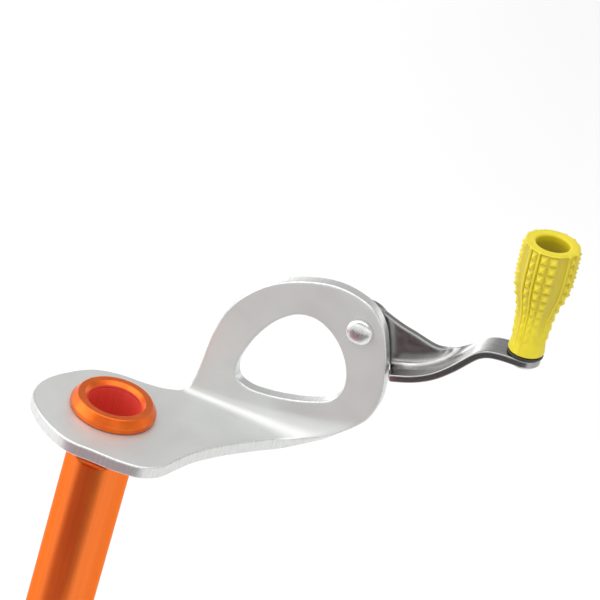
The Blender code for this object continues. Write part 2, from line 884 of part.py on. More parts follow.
def make_knob(mat):
    """Grip with ribs, flutes and pyramid studs, open at the top down to the axle's end."""
    columns = knob_columns()
    verts, faces = [], []
    peaks = set()

    def level(z, depth, peak=False, back=0.0):
        start = len(verts)
        for a, kind, height in columns:
            if kind == "stud" and peak:
                peaks.add(len(verts))
                height = 1.0
            r = knob_radius(z) - back - stud_height(z) * depth * (1.0 - height)
            verts.append((r * math.cos(a), r * math.sin(a), z))
        return list(range(start, len(verts)))

    def plain(r, z):
        start = len(verts)
        verts.extend((r * math.cos(a), r * math.sin(a), z) for a, _, _ in columns)
        return list(range(start, len(verts)))

    inner = [
        plain(KNOB_HOLLOW_R, KNOB_FLOOR),
        plain(AXLE_BORE_R, KNOB_FLOOR),
        plain(AXLE_BORE_R, 0.0),
        plain(4.2, 0.0),
        plain(4.62, 0.4),
        level(1.4, 0.3),
    ]
    for a, b in zip(inner, inner[1:]):
        bridge(faces, a, b)
    half = STUD_PITCH / 2
    rows = [
        level(STUD_START + half * i, 1.0, peak=i % 2 == 1)
        for i in range(2 * STUD_ROWS + 1)
    ]
    bridge(faces, inner[-1], rows[0])
    grip = []
    for a, b in zip(rows, rows[1:]):
        bridge(grip, a, b)
    for face in grip:
        faces += stud_faces(face, peaks)
    outer = [
        rows[-1],
        level(KNOB_L - 0.3, 0.5, back=0.15),
        level(KNOB_L, 0.5, back=0.7),
        plain(KNOB_HOLLOW_R + 0.55, KNOB_L),
        plain(KNOB_HOLLOW_R, KNOB_L - 0.6),
        inner[0],
    ]
    for a, b in zip(outer, outer[1:]):
        bridge(faces, a, b)
    lifted = [(x, y, z + KNOB_BASE) for x, y, z in verts]
    origin = (KNOB_X, STRIP_MID_Y, KNOB_Z)
    return add_node("crank_knob", about_knob(lifted), faces, mat, origin, 24.0)


def make_axle(mat):
    """Pin fixed in the arm's end: a low head below the arm and a set head in the knob's hollow."""
    half = ARM_T / 2
    seat = KNOB_BASE + KNOB_FLOOR + 0.15 + 0.6 + 0.1
    profile = [
        (0.0, -half - 1.0),
        (2.5, -half - 1.0),
        (3.1, -half - 0.55),
        (3.1, -half - 0.1),
        (AXLE_R, -half - 0.1),
        (AXLE_R, seat),
        (2.9, seat),
        (2.9, seat + 0.5),
        (2.2, seat + 1.1),
        (0.0, seat + 1.35),
    ]
    verts, faces = turned(profile, 32)
    origin = (KNOB_X, STRIP_MID_Y, KNOB_Z)
    return add_node("knob_axle", about_knob(verts), faces, mat, origin)


def make_knob_washers(rubber, steel):
    origin = (KNOB_X, STRIP_MID_Y, KNOB_Z)
    start = ARM_T / 2 + 0.15
    make_washer(
        "knob_thrust_washer", rubber, AXLE_BORE_R, 4.55, start, 0.7, about_knob, origin, 0.15
    )
    start = KNOB_BASE + KNOB_FLOOR + 0.15
    make_washer(
        "knob_top_washer", steel, AXLE_BORE_R, 3.9, start, 0.6, about_knob, origin
    )


# -------------------------------------------------------------------- build


def main():
    for obj in list(bpy.data.objects):
        bpy.data.objects.remove(obj, do_unlink=True)
    satin = make_material("satin_aluminium", (0.62, 0.63, 0.62), 0.38, 1.0)
    orange = make_material("orange_anodised", (0.86, 0.21, 0.03), 0.30, 1.0)
    orange_ring = make_material("orange_anodised_collar", (0.84, 0.17, 0.03), 0.28, 1.0)
    crown = make_material("crown_steel", (0.58, 0.57, 0.55), 0.30, 1.0)
    rivet = make_material("rivet_steel", (0.55, 0.55, 0.55), 0.30, 1.0)
    spring = make_material("washer_steel", (0.45, 0.45, 0.46), 0.35, 1.0)
    crank = make_material("crank_steel", (0.26, 0.25, 0.24), 0.32, 1.0)
    axle = make_material("axle_steel", (0.50, 0.50, 0.50), 0.32, 1.0)
    yellow = make_material("yellow_plastic", (0.78, 0.68, 0.05), 0.45, 0.0)
    black = make_material("black_nylon", (0.02, 0.02, 0.02), 0.5, 0.0)
    make_hanger(satin)
    make_tube(orange)
    make_tip(crown)
    make_collar(orange_ring)
    make_rivet(rivet)
    make_pivot_washers(spring)
    make_arm(crank)
    make_knob(yellow)
    make_axle(axle)
    make_knob_washers(black, spring)


main()
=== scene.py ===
"""Looks for the tubular ice screw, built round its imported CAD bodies.

Frame: the tube axis is Z and the head is up. The hanger's underside is Z = 0, its upright
fin runs along +X, and the fin's front face is towards -Y. Sizes below are in millimetres,
and are scaled to metres when a piece is made.
"""

import math

import bmesh
import bpy
import numpy as np
from mathutils import Matrix, Vector
from mathutils.geometry import delaunay_2d_cdt

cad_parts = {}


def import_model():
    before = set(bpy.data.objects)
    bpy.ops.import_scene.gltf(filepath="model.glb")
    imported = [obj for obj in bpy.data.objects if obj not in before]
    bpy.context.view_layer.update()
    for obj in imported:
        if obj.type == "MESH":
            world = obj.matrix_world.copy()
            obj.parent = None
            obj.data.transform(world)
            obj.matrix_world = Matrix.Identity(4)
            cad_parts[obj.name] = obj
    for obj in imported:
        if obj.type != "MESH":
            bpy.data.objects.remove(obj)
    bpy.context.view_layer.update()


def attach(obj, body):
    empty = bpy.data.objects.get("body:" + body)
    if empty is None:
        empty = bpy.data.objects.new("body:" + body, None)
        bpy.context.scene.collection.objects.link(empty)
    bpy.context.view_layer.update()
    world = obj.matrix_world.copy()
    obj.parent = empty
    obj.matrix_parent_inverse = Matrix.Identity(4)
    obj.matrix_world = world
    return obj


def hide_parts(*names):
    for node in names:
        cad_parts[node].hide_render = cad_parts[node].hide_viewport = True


MM = 0.001

# Hanger plate: one flat blank, folded by 90 degrees into a base lobe and a fin.
PLATE_T = 3.5
PLATE_EDGE = 0.5
PLATE_SPACING = 1.1
OUTLINE_STEPS = 10
FACE_MARGIN = 0.35
FIN_FRONT_Y = 22.0
BEND_X0 = 13.0
BEND_SPAN = 47.0
BEND_R_MIN = 2.4
BEND_R_GROWTH = 9.5
BEND_POWER = 1.8

# Tube: bore, outside, two flats that key it to the hanger, and its thread.
TUBE_R = 8.5
BORE_R = 6.8
FLAT_Y = 7.5
FLAT_FULL_Z = -9.0
FLAT_END_Z = -9.6
TUBE_TOP_Z = 5.3
TUBE_END_Z = -112.0
SPIGOT_R = 7.6
SPIGOT_LEN = 6.0
THREAD_TOP_Z = -57.0
THREAD_END_Z = -110.6
THREAD_PITCH = 5.0
THREAD_H = 1.4
HOLE_GAP = 0.2
KEY_SIDES = 96
FLAT_STEPS = 6
TUBE_SIDES = 120
TUBE_CHAMFER = 0.3
TUBE_END_CHAMFER = 0.4
BORE_CHAMFER = 0.05
SOCKET_ROOM = 0.3
# Heights of the rings that only divide the long bore and the long plain outside.
BORE_RING_Z = -40.0
PLAIN_RING_Z = -25.0
# One pitch of the thread: how far along it is, and how high it stands.
THREAD_SHAPE = (
    (0.00, 0.00), (0.24, 0.00), (0.47, 0.00), (0.51, 0.04), (0.54, 0.18), (0.62, 0.85),
    (0.645, 0.96), (0.67, 1.00), (0.75, 1.00), (0.83, 1.00), (0.855, 0.96), (0.88, 0.85),
    (0.96, 0.18), (0.985, 0.04),
)

# Cutting tip.
TIP_END_Z = -130.0
TIP_BODY_Z = -124.0
TIP_R = 8.6
TIP_TEETH = 4
TIP_STEPS = 24
TOOTH_H = 5.0
TOOTH_SINK = 1.0
TOOTH_CURVE = 0.85
TIP_CHAMFER = 0.3
SHOULDER_GAP = 0.3
SPIGOT_FIT = 0.15

# Collar.
COLLAR_Z = PLATE_T + 0.15
COLLAR_H = 3.4
COLLAR_R = 11.0
COLLAR_RIM_R = 9.6
COLLAR_BORE_R = 6.85
COLLAR_COUNTERBORE = 1.8
COLLAR_MOUTH = 0.95
COLLAR_SIDES = 128

# Crank pivot.
PIVOT_X = 50.3
PIVOT_Z = 38.3
PIVOT_PIN_R = 2.0
PIVOT_HOLE_R = 2.08
PIN_SIDES = 64
HOLE_SIDES = 40
WASHER_SIDES = 80
DOME_R = 3.45
DOME_H = 1.7
SET_HEAD_R = DOME_R - 0.2
SET_HEAD_H = 1.3
# The gaps under a head, and between the parts of a stack.
HEAD_GAP = 0.1
STACK_GAP = 0.15
FRICTION_WASHER_R = 5.2
FRICTION_WASHER_T = 0.5
BACK_WASHER_R = 4.6
BACK_WASHER_T = 0.6

# Crank arm: a pressed strip whose inner end folds up into a web.
ARM_T = 2.0
ARM_W = 8.4
ARM_EDGE = 0.35
ARM_CROWN = 0.05
ARM_BEND_R = 1.6
ARM_EYE_R = 6.4
ARM_SPACING = 0.6
FOLD_FULL_X = 72.0
FOLD_NONE_X = 80.0
# The least fold that isn't taken as flat, and half the length over which a slope is taken.
FOLD_FLAT = 1e-4
SLOPE_REACH = 0.35
WEB_PASSES = 12
# The strip's long edges: where their points start in front and behind, how far apart they
# are and how many there are. Then the sides of its round end.
STRIP_FRONT_X = 63.2
STRIP_BACK_X = 88.4
STRIP_STEP = 0.7
STRIP_FRONT_COUNT = 38
STRIP_BACK_COUNT = 14
END_SIDES = 32

# Knob and its axle.
KNOB_X = 90.8
KNOB_Z = 48.0
KNOB_TILT = math.radians(4.0)
KNOB_BASE = 2.0
KNOB_L = 30.5
KNOB_HOLLOW_R = 4.25
KNOB_FLOOR = 15.0
AXLE_R = 2.0
AXLE_BORE_R = 2.08
AXLE_FOOT_R = 3.1
AXLE_HEAD_R = 2.9
THRUST_WASHER_R = 4.55
THRUST_WASHER_T = 0.7
TOP_WASHER_R = 3.9
TOP_WASHER_T = 0.6
STUD_PITCH = 2.6
STUD_ROWS = 10
STUD_START = 3.9
# The studs are low near the knob's base, and grow over a length above it.
STUD_LOW = 0.4
STUD_RISE = 0.75
STUD_GROW_Z = 6.0
STUD_GROW_LEN = 11.0
KNOB_PANELS = 4
PANEL_PHASE = -126.25
# One panel of the grip: each column's angle in degrees, its kind and its height, where
# 1 is the envelope of the studs' peaks and 0 is the valleys between them.
PANEL = (
    (-2.3, "line", 0.42), (0.0, "line", 0.5), (2.3, "line", 0.42), (3.6, "line", 0.0),
    (11.25, "stud", 0.0), (18.9, "line", 0.0), (20.2, "line", 0.42), (22.5, "line", 0.5),
    (24.8, "line", 0.42), (26.1, "line", 0.0), (35.3, "stud", 0.0), (45.4, "line", 0.0),
    (56.2, "stud", 0.0), (67.0, "line", 0.0), (71.0, "line", -0.14), (75.0, "line", -0.22),
    (79.0, "line", -0.22), (83.0, "line", -0.14), (86.4, "line", 0.0),
)
# The rounding under the foot, as (radius, height), and the rounding of the rim, as
# (distance below the top, distance inside the outline).
KNOB_FOOT = ((4.1, 0.0), (4.45, 0.15), (4.62, 0.5))
KNOB_RIM = ((0.3, 0.08), (0.15, 0.22), (0.04, 0.45), (0.0, 0.75))
KNOB_SOFTEN = 0.07
# The relief attribute at the hollow's floor, from which the material paints the hollow's shade
# darkest there. It is 1 at the hollow's mouth.
HOLLOW_RELIEF = -8.0
KNOB_PROFILE = (
    (0.0, 4.7), (4.3, 4.6), (7.0, 4.8), (11.5, 5.3), (14.4, 6.1), (16.4, 6.8), (18.7, 7.35),
    (21.6, 7.6), (26.0, 7.68), (30.5, 7.6),
)

FIN_BACK_Y = FIN_FRONT_Y + PLATE_T
ARM_Y0 = FIN_BACK_Y + 2 * STACK_GAP + FRICTION_WASHER_T
ARM_Y1 = ARM_Y0 + ARM_T
STRIP_Y0 = ARM_Y1 - ARM_W
STRIP_MID_Y = ARM_Y1 - ARM_W / 2
FLOOR_Z = TIP_END_Z
FLOOR_REACH = 6000.0

# Camera: azimuth from -Y, height and roll in degrees, and what the picture's middle sees.
VIEW_AZIMUTH = 10.0
VIEW_HEIGHT = 30.0
VIEW_ROLL = 16.9
VIEW_RANGE = 900.0
VIEW_LENS = 216.0
VIEW_OFFSET = (36.86, 39.84)
SENSOR_W = 36.0
CLIP_METRES = (0.05, 20.0)

# Meshes. Inner points keep a share of their spacing clear of the outline. A rounding takes up
# less than half of a side. TINY stands for zero in comparisons, divisions and merging.
EDGE_STEPS = 4
CLEAR_SHARE = 0.45
ROUND_SHARE = 0.48
MITRE_MIN = 0.5
TINY = 1e-6

# Noise values between which a roughness changes.
NOISE_LOW = 0.3
NOISE_HIGH = 0.7

# Light: the sky's brightness by height, and each soft light's name, place, size and power.
SKY = (
    (0.0, 1.0), (0.02, 2.2), (0.14, 1.4), (0.32, 0.9), (0.42, 0.45), (0.58, 0.45),
    (0.75, 0.9),
)
SKY_STRENGTH = 0.9
AIM = (40.0, 10.0, 20.0)
LIGHTS = (
    ("overhead", (0, -250, 900), (1400, 1000), 5.0),
    ("left", (-800, -300, 450), (900, 1100), 4.5),
    ("kicker", (-380, 680, -15), (420, 150), 0.36),
)
# The sheets in front of the object: each one's colour, and its corners above the floor.
FLAG_LIFT = 2.0
FLAGS = (
    ((0.31, 0.13, 0.165), ((-86, -72), (-210, -175), (-210, -225), (62, -225), (38, -87.7))),
    ((0.27, 0.265, 0.26), ((38, -87.7), (62, -225), (176, -225), (72, -92))),
    ((0.05, 0.05, 0.05), ((-230, -225), (-230, -420), (330, -420), (330, -225))),
)


# ---- curves


def spline(points, steps, closed=True):
    """Points on a centripetal Catmull-Rom curve through the given ones."""
    pts = [Vector(p) for p in points]
    count = len(pts)
    out = []
    for i in range(count if closed else count - 1):
        if closed:
            p0, p1, p2, p3 = (pts[(i + k - 1) % count] for k in range(4))
        else:
            p1, p2 = pts[i], pts[i + 1]
            p0 = pts[i - 1] if i else 2 * p1 - p2
            p3 = pts[i + 2] if i + 2 < count else 2 * p2 - p1
        t1 = (p1 - p0).length ** 0.5
        t2 = t1 + (p2 - p1).length ** 0.5
        t3 = t2 + (p3 - p2).length ** 0.5
        for k in range(steps):
            t = t1 + (t2 - t1) * k / steps
            a1 = p0 * (t1 - t) / t1 + p1 * t / t1
            a2 = p1 * (t2 - t) / (t2 - t1) + p2 * (t - t1) / (t2 - t1)
            a3 = p2 * (t3 - t) / (t3 - t2) + p3 * (t - t2) / (t3 - t2)
            b1 = a1 * (t2 - t) / t2 + a2 * t / t2
            b2 = a2 * (t3 - t) / (t3 - t1) + a3 * (t - t1) / (t3 - t1)
            c = b1 * (t2 - t) / (t2 - t1) + b2 * (t - t1) / (t2 - t1)
            out.append(tuple(c))
    if not closed:
        out.append(tuple(pts[-1]))
    return out


def polar(radius, angle, z):
    return (radius * math.cos(angle), radius * math.sin(angle), z)


def circle(cx, cy, radius, count):
    turn = 2 * math.pi / count
    return [
        (cx + radius * math.cos(i * turn), cy + radius * math.sin(i * turn))
        for i in range(count)
    ]


def rounded(corners, steps):
    """A closed outline from (x, y, radius) corners, with each corner rounded."""
    out = []
    count = len(corners)
    for i, (x, y, radius) in enumerate(corners):
        p = Vector((x, y))
        a = Vector(corners[i - 1][:2]) - p
        b = Vector(corners[(i + 1) % count][:2]) - p
        if radius <= 0:
            out.append((x, y))
            continue
        reach = radius / math.tan(a.angle(b) / 2)
        reach = min(reach, ROUND_SHARE * a.length, ROUND_SHARE * b.length)
        p0 = p + a.normalized() * reach
        p1 = p + b.normalized() * reach
        for k in range(steps + 1):
            u = k / steps
            out.append(tuple(p0 * (1 - u) ** 2 + p * 2 * u * (1 - u) + p1 * u**2))
    return out


def signed_area(loop):
    x, y = np.array(loop).T
    return float((x * np.roll(y, -1) - np.roll(x, -1) * y).sum() / 2)


def inset(loop, amount):
    """The loop moved by an amount to its left, which is inwards if it runs anticlockwise."""
    p = np.array(loop)
    ahead = np.roll(p, -1, axis=0) - p
    ahead /= np.linalg.norm(ahead, axis=1)[:, None]
    behind = np.roll(ahead, 1, axis=0)
    left = np.stack([-ahead[:, 1], ahead[:, 0]], axis=1)
    mean = left + np.stack([-behind[:, 1], behind[:, 0]], axis=1)
    mean /= np.linalg.norm(mean, axis=1)[:, None]
    reach = amount / np.maximum(MITRE_MIN, (mean * left).sum(axis=1))
    return [tuple(q) for q in p + mean * reach[:, None]]


def inside(points, loop):
    """For each point, whether it is inside the loop."""
    a = np.array(loop)
    b = np.roll(a, -1, axis=0)
    x, y = points[:, 0:1], points[:, 1:2]
    crosses = (a[:, 1] > y) != (b[:, 1] > y)
    rise = np.where(b[:, 1] == a[:, 1], 1.0, b[:, 1] - a[:, 1])
    left = x < a[:, 0] + (y - a[:, 1]) * (b[:, 0] - a[:, 0]) / rise
    return (crosses & left).sum(axis=1) % 2 == 1


def gap_to(points, loop):
    """For each point, its distance from the loop."""
    a = np.array(loop)
    d = np.roll(a, -1, axis=0) - a
    p = points[:, None, :] - a
    t = np.clip((p * d).sum(axis=2) / (d * d).sum(axis=1), 0, 1)
    return np.linalg.norm(p - t[:, :, None] * d, axis=2).min(axis=1)


# ---- meshes


def add_object(name, data):
    obj = bpy.data.objects.new(name, data)
    bpy.context.scene.collection.objects.link(obj)
    return obj


def make_piece(name, verts, faces, body, nodes, slot, materials, sharp=180.0, soften=0.0):
    """One object from points in millimetres, which stands for some CAD nodes.

    Faces that meet at more than sharp degrees keep a hard edge. Soften is the width of a
    small bevel. Broad faces are shaded flat, and the narrow ones between them round.
    """
    mesh = bpy.data.meshes.new(name)
    mesh.from_pydata([(x * MM, y * MM, z * MM) for x, y, z in verts], [], faces)
    work = bmesh.new()
    work.from_mesh(mesh)
    bmesh.ops.recalc_face_normals(work, faces=work.faces)
    work.to_mesh(mesh)
    work.free()
    mesh.shade_smooth()
    mesh.set_sharp_from_angle(angle=math.radians(sharp))
    for mat in materials:
        mesh.materials.append(mat)
    obj = add_object(name, mesh)
    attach(obj, body)
    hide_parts(*nodes)
    if soften:
        bevel = obj.modifiers.new("soften", "BEVEL")
        bevel.width = soften * MM
        bevel.segments = 2
        bevel.limit_method = "ANGLE"
        bevel.angle_limit = math.radians(20.0)
        bevel.use_clamp_overlap = True
    normals = obj.modifiers.new("normals", "WEIGHTED_NORMAL")
    normals.weight = 80
    normals.keep_sharp = True
    return obj


def bridge(faces, rings):
    """Joins each ring to the next one with a band of faces."""
    for a, b in zip(rings, rings[1:]):
        count = len(a)
        for i in range(count):
            j = (i + 1) % count
            faces.append((a[i], a[j], b[j], b[i]))


def turned(profile, count):
    """A body of revolution about Z from a closed (radius, height) profile.

    A radius of zero makes a pole.
    """
    verts, rows = [], []
    for r, z in profile:
        if r < TINY:
            rows.append([len(verts)])
            verts.append((0.0, 0.0, z))
        else:
            rows.append(list(range(len(verts), len(verts) + count)))
            verts += [(x, y, z) for x, y in circle(0.0, 0.0, r, count)]
    faces = []
    for a, b in zip(rows, rows[1:] + rows[:1]):
        if len(a) == 1 and len(b) == 1:
            continue
        for i in range(count):
            j = (i + 1) % count
            face = [a[i % len(a)], a[j % len(a)], b[j % len(b)], b[i % len(b)]]
            faces.append(tuple(dict.fromkeys(face)))
    return verts, faces


def about_pivot(points):
    """Points about Z turned so that their axis runs along +Y through the crank's pivot."""
    return [(PIVOT_X + x, z, PIVOT_Z - y) for x, y, z in points]


def about_knob(points):
    """Points in the knob's own frame, put on its leaning axle."""
    s, c = math.sin(KNOB_TILT), math.cos(KNOB_TILT)
    return [
        (KNOB_X + x * c - z * s, STRIP_MID_Y + y, KNOB_Z + x * s + z * c)
        for x, y, z in points
    ]


def fill_points(loops, spacing, clear):
    """Rows of points inside the first loop and outside the others, clear of all of them."""
    low, high = np.min(loops[0], axis=0), np.max(loops[0], axis=0)
    rise = spacing * math.sqrt(0.75)  # so that the points form equal-sided triangles
    rows = []
    for k in range(int((high[1] - low[1]) / rise) + 1):
        x = np.arange(low[0] + (k % 2) * spacing / 2, high[0], spacing)
        rows.append(np.stack([x, np.full_like(x, low[1] + k * rise)], axis=1))
    points = np.concatenate(rows)
    points = points[inside(points, loops[0])]
    for loop in loops[1:]:
        points = points[~inside(points, loop)]
    for loop in loops:
        points = points[gap_to(points, loop) > clear]
    return points


def plate(loops, spacing, thickness, edge, fold):
    """A folded sheet with rounded edges, from an outline and its holes on the flat blank.

    Returns the points, the faces, the number of faces before the rims', and each face
    corner's place in millimetres: on the blank for a broad face, and along and through
    the rim for a rim face.
    """
    loops = [
        loop if (signed_area(loop) > 0) == (k == 0) else loop[::-1]
        for k, loop in enumerate(loops)
    ]
    small = [inset(loop, edge) for loop in loops]
    flat, edges = [], []
    for loop in small:
        start = len(flat)
        flat += [Vector(p) for p in loop]
        edges += [(start + i, start + (i + 1) % len(loop)) for i in range(len(loop))]
    flat += [Vector(p) for p in fill_points(small, spacing, CLEAR_SHARE * spacing)]
    points, _, triangles, sources, _, _ = delaunay_2d_cdt(flat, edges, [], 0, TINY, True)
    coords = np.array([tuple(c) for c in points])
    tris = np.array(triangles)
    mids = coords[tris].mean(axis=1)
    keep = inside(mids, small[0])
    for hole in small[1:]:
        keep &= ~inside(mids, hole)
    tris = tris[keep]
    index = {old: new for new, olds in enumerate(sources) for old in olds}
    half = thickness / 2
    count = len(coords)
    verts = [fold(x, y, half) for x, y in coords]
    verts += [fold(x, y, -half) for x, y in coords]
    faces = [tuple(t) for t in tris.tolist()]
    faces += [tuple(count + i for i in reversed(t)) for t in tris.tolist()]
    places = [[tuple(coords[i % count]) for i in face] for face in faces]
    broad = len(faces)
    start = 0
    for loop in loops:
        size = len(loop)
        rings = [[index[start + i] for i in range(size)]]
        depths = [half]
        for side in (1, -1):
            steps = range(1, EDGE_STEPS + 1)
            for k in steps if side > 0 else reversed(steps):
                t = math.pi / 2 * k / EDGE_STEPS
                n = side * (half - edge * (1 - math.cos(t)))
                ring = inset(loop, edge * (1 - math.sin(t)))
                rings.append(list(range(len(verts), len(verts) + size)))
                verts += [fold(x, y, n) for x, y in ring]
                depths.append(n)
        rings.append([count + index[start + i] for i in range(size)])
        depths.append(-half)
        lengths = np.linalg.norm(np.roll(loop, -1, axis=0) - np.array(loop), axis=1)
        along = np.concatenate([[0.0], np.cumsum(lengths)])
        for (a, da), (b, db) in zip(zip(rings, depths), zip(rings[1:], depths[1:])):
            for i in range(size):
                j = (i + 1) % size
                faces.append((a[i], b[i], b[j], a[j]))
                u, v = along[i], along[i + 1]
                places.append([(u, da), (u, db), (v, db), (v, da)])
        start += size
    return verts, faces, broad, places


def lay_out(obj, broad, places):
    """Gives a plate's faces their places as an attribute, and its rims the second material."""
    mesh = obj.data
    values = np.array([c for face in places for c in face], np.float32)
    sheet = mesh.attributes.new("sheet", "FLOAT2", "CORNER")
    sheet.data.foreach_set("vector", values.ravel())
    kinds = np.zeros(len(mesh.polygons), np.int32)
    kinds[broad:] = 1
    mesh.polygons.foreach_set("material_index", kinds)


# ---- materials


class Finish:
    """A Principled material, with short ways to add the nodes of its surface detail."""

    def __init__(self, name, colour, roughness, metallic, **sockets):
        self.mat = bpy.data.materials.new(name)
        self.mat.use_nodes = True
        self.tree = self.mat.node_tree
        self.shader = self.tree.nodes["Principled BSDF"]
        self.colour = (*colour, 1.0)
        sockets |= {"Base_Color": self.colour, "Roughness": roughness, "Metallic": metallic}
        for socket, value in sockets.items():
            self.shader.inputs[socket.replace("_", " ")].default_value = value
        self.bumped = None

    def add(self, kind, links=(), **values):
        node = self.tree.nodes.new("ShaderNode" + kind)
        for name, value in values.items():
            setattr(node, name, value)
        for socket, source in dict(links).items():
            if isinstance(source, bpy.types.NodeSocket):
                self.tree.links.new(source, node.inputs[socket])
            else:
                node.inputs[socket].default_value = source
        return node

    def place(self, stretch=(1, 1, 1), turn=(0, 0, 0), attribute=None):
        """The surface's own coordinates, in millimetres, stretched and turned."""
        if attribute:
            source = self.add("Attribute", attribute_name=attribute).outputs["Vector"]
            scale = stretch
        else:
            source = self.add("TexCoord").outputs["Object"]
            scale = tuple(s / MM for s in stretch)
        links = {"Vector": source, "Rotation": turn, "Scale": scale}
        return self.add("Mapping", links).outputs["Vector"]

    def noise(self, scale, detail=2.0, distortion=0.0, **where):
        links = {
            "Vector": self.place(**where),
            "Scale": scale,
            "Detail": detail,
            "Distortion": distortion,
        }
        return self.add("TexNoise", links).outputs[0]

    def remap(self, value, low, high, to_low, to_high):
        links = {0: value, 1: low, 2: high, 3: to_low, 4: to_high}
        return self.add("MapRange", links).outputs[0]

    def tint(self, value, colour, low, high, most=1.0):
        """Mixes another colour in: none where the value is at low, most where it is at high."""
        base = self.shader.inputs["Base Color"]
        source = base.links[0].from_socket if base.links else self.colour
        share = self.remap(value, low, high, 0.0, most)
        # Sockets 6 and 7 are the node's two colours, and output 2 is their mix.
        links = {0: share, 6: source, 7: (*colour, 1.0)}
        mix = self.add("Mix", links, data_type="RGBA")
        self.tree.links.new(mix.outputs[2], base)

    def vary_roughness(self, value, to_low, to_high):
        made = self.remap(value, NOISE_LOW, NOISE_HIGH, to_low, to_high)
        self.tree.links.new(made, self.shader.inputs["Roughness"])

    def bump(self, value, depth):
        """Adds relief of that depth, in millimetres, over what is there already."""
        links = {"Height": value, "Distance": depth * MM}
        if self.bumped:
            links["Normal"] = self.bumped
        self.bumped = self.add("Bump", links).outputs["Normal"]
        self.tree.links.new(self.bumped, self.shader.inputs["Normal"])


def tumbled_aluminium():
    """Silver anodised plate with the matt grain that tumbling leaves, and faint marks."""
    f = Finish("tumbled_aluminium", (0.66, 0.67, 0.66), 0.48, 0.7)
    cloud = f.noise(0.09, 3.0)
    f.tint(cloud, (0.61, 0.615, 0.605), 0.4, 0.75)
    grain = f.noise(5.5, 4.0)
    f.vary_roughness(grain, 0.43, 0.54)
    f.bump(grain, 0.012)
    marks = f.noise(1.0, 3.0, 0.4, stretch=(0.35, 4.0, 0.35), turn=(0.3, 0.2, 0.7))
    f.bump(f.remap(marks, 0.62, 0.72, 0.0, 1.0), 0.004)
    return f.mat


def plate_edge():
    """The plate's cut edge, rounded bright by tumbling and streaked across by the cutter."""
    f = Finish("tumbled_edge", (0.72, 0.73, 0.72), 0.32, 0.85)
    streaks = f.noise(1.0, 4.0, stretch=(1.6, 0.12, 1.0), attribute="sheet")
    f.tint(streaks, (0.62, 0.63, 0.62), 0.4, 0.7)
    f.vary_roughness(streaks, 0.28, 0.38)
    f.bump(streaks, 0.006)
    f.bump(f.noise(5.0, 3.0), 0.003)
    return f.mat


def anodised_tube():
    """Bright orange anodising on drawn tube, with fine lines along it."""
    f = Finish(
        "anodised_tube",
        (0.88, 0.195, 0.036),
        0.33,
        1.0,
        Specular_Tint=(1.0, 0.55, 0.3, 1.0),
        Coat_Weight=0.1,
        Coat_Roughness=0.12,
    )
    lines = f.noise(1.6, 3.0, stretch=(1, 1, 0.01))
    f.tint(lines, (0.84, 0.175, 0.031), 0.35, 0.7)
    f.vary_roughness(f.noise(0.3, 2.0, stretch=(1, 1, 0.3)), 0.31, 0.35)
    f.bump(lines, 0.0008)
    f.bump(f.noise(9.0, 2.0), 0.0003)
    return f.mat


def anodised_collar():
    """Orange anodising over turned metal, with fine rings round it."""
    f = Finish(
        "anodised_collar",
        (0.89, 0.165, 0.02),
        0.34,
        1.0,
        Coat_Weight=0.15,
        Coat_Roughness=0.25,
    )
    rings = f.noise(4.0, 3.0, stretch=(0.05, 0.05, 1))
    f.tint(f.noise(0.3, 2.0), (0.85, 0.135, 0.018), 0.4, 0.7)
    f.vary_roughness(rings, 0.30, 0.40)
    f.bump(rings, 0.002)
    f.bump(f.noise(9.0, 2.0), 0.001)
    return f.mat


def bore_painted_shade():
    """The dull anodising inside the bore, its colour painted deeper red as painted shade for the
    little light inside the bore, with the drawing marks along it.
    """
    # The deeper red base colour is painted shade.
    f = Finish("bore_painted_shade", (0.90, 0.095, 0.065), 0.55, 0.15)
    lines = f.noise(1.6, 3.0, stretch=(1, 1, 0.02))
    f.tint(lines, (0.82, 0.08, 0.055), 0.4, 0.7)
    f.vary_roughness(lines, 0.48, 0.62)
    f.bump(lines, 0.006)
    return f.mat


def ground_steel():
    """Hardened crown, ground round, with darker patches."""
    f = Finish("ground_steel", (0.56, 0.55, 0.53), 0.27, 1.0)
    rings = f.noise(3.5, 4.0, stretch=(0.08, 0.08, 1))
    f.tint(f.noise(0.4, 3.0), (0.42, 0.41, 0.40), 0.45, 0.75)
    f.vary_roughness(rings, 0.2, 0.34)
    f.bump(rings, 0.006)
    return f.mat


def rivet_steel():
    f = Finish("rivet_steel", (0.78, 0.78, 0.775), 0.25, 1.0)
    grain = f.noise(2.6, 3.0)
    f.tint(f.noise(0.6, 2.0), (0.70, 0.70, 0.70), 0.45, 0.75)
    f.vary_roughness(grain, 0.24, 0.31)
    f.bump(grain, 0.0025)
    return f.mat


def washer_steel():
    f = Finish("washer_steel", (0.44, 0.44, 0.45), 0.32, 1.0)
    grain = f.noise(3.0, 3.0)
    f.tint(grain, (0.36, 0.36, 0.37), 0.45, 0.7)
    f.vary_roughness(grain, 0.26, 0.38)
    f.bump(grain, 0.006)
    return f.mat


def crank_steel():
    """Dark pressed stainless steel, electropolished, with faint flow lines along the strip."""
    f = Finish("crank_steel", (0.42, 0.415, 0.41), 0.21, 1.0)
    flow = f.noise(1.0, 3.0, 0.3, stretch=(0.12, 0.7, 0.7))
    f.tint(flow, (0.36, 0.355, 0.35), 0.4, 0.7)
    f.vary_roughness(f.noise(0.7, 2.0), 0.18, 0.25)
    f.bump(flow, 0.006)
    f.bump(f.noise(8.0, 2.0), 0.0015)
    return f.mat


def crank_edge():
    """The crank's sheared and polished edge, with faint streaks across it."""
    f = Finish("crank_edge", (0.37, 0.37, 0.365), 0.2, 1.0)
    streaks = f.noise(1.0, 3.0, stretch=(0.9, 0.12, 1.0), attribute="sheet")
    f.tint(streaks, (0.33, 0.33, 0.325), 0.4, 0.7)
    f.vary_roughness(streaks, 0.18, 0.22)
    f.bump(streaks, 0.0006)
    return f.mat


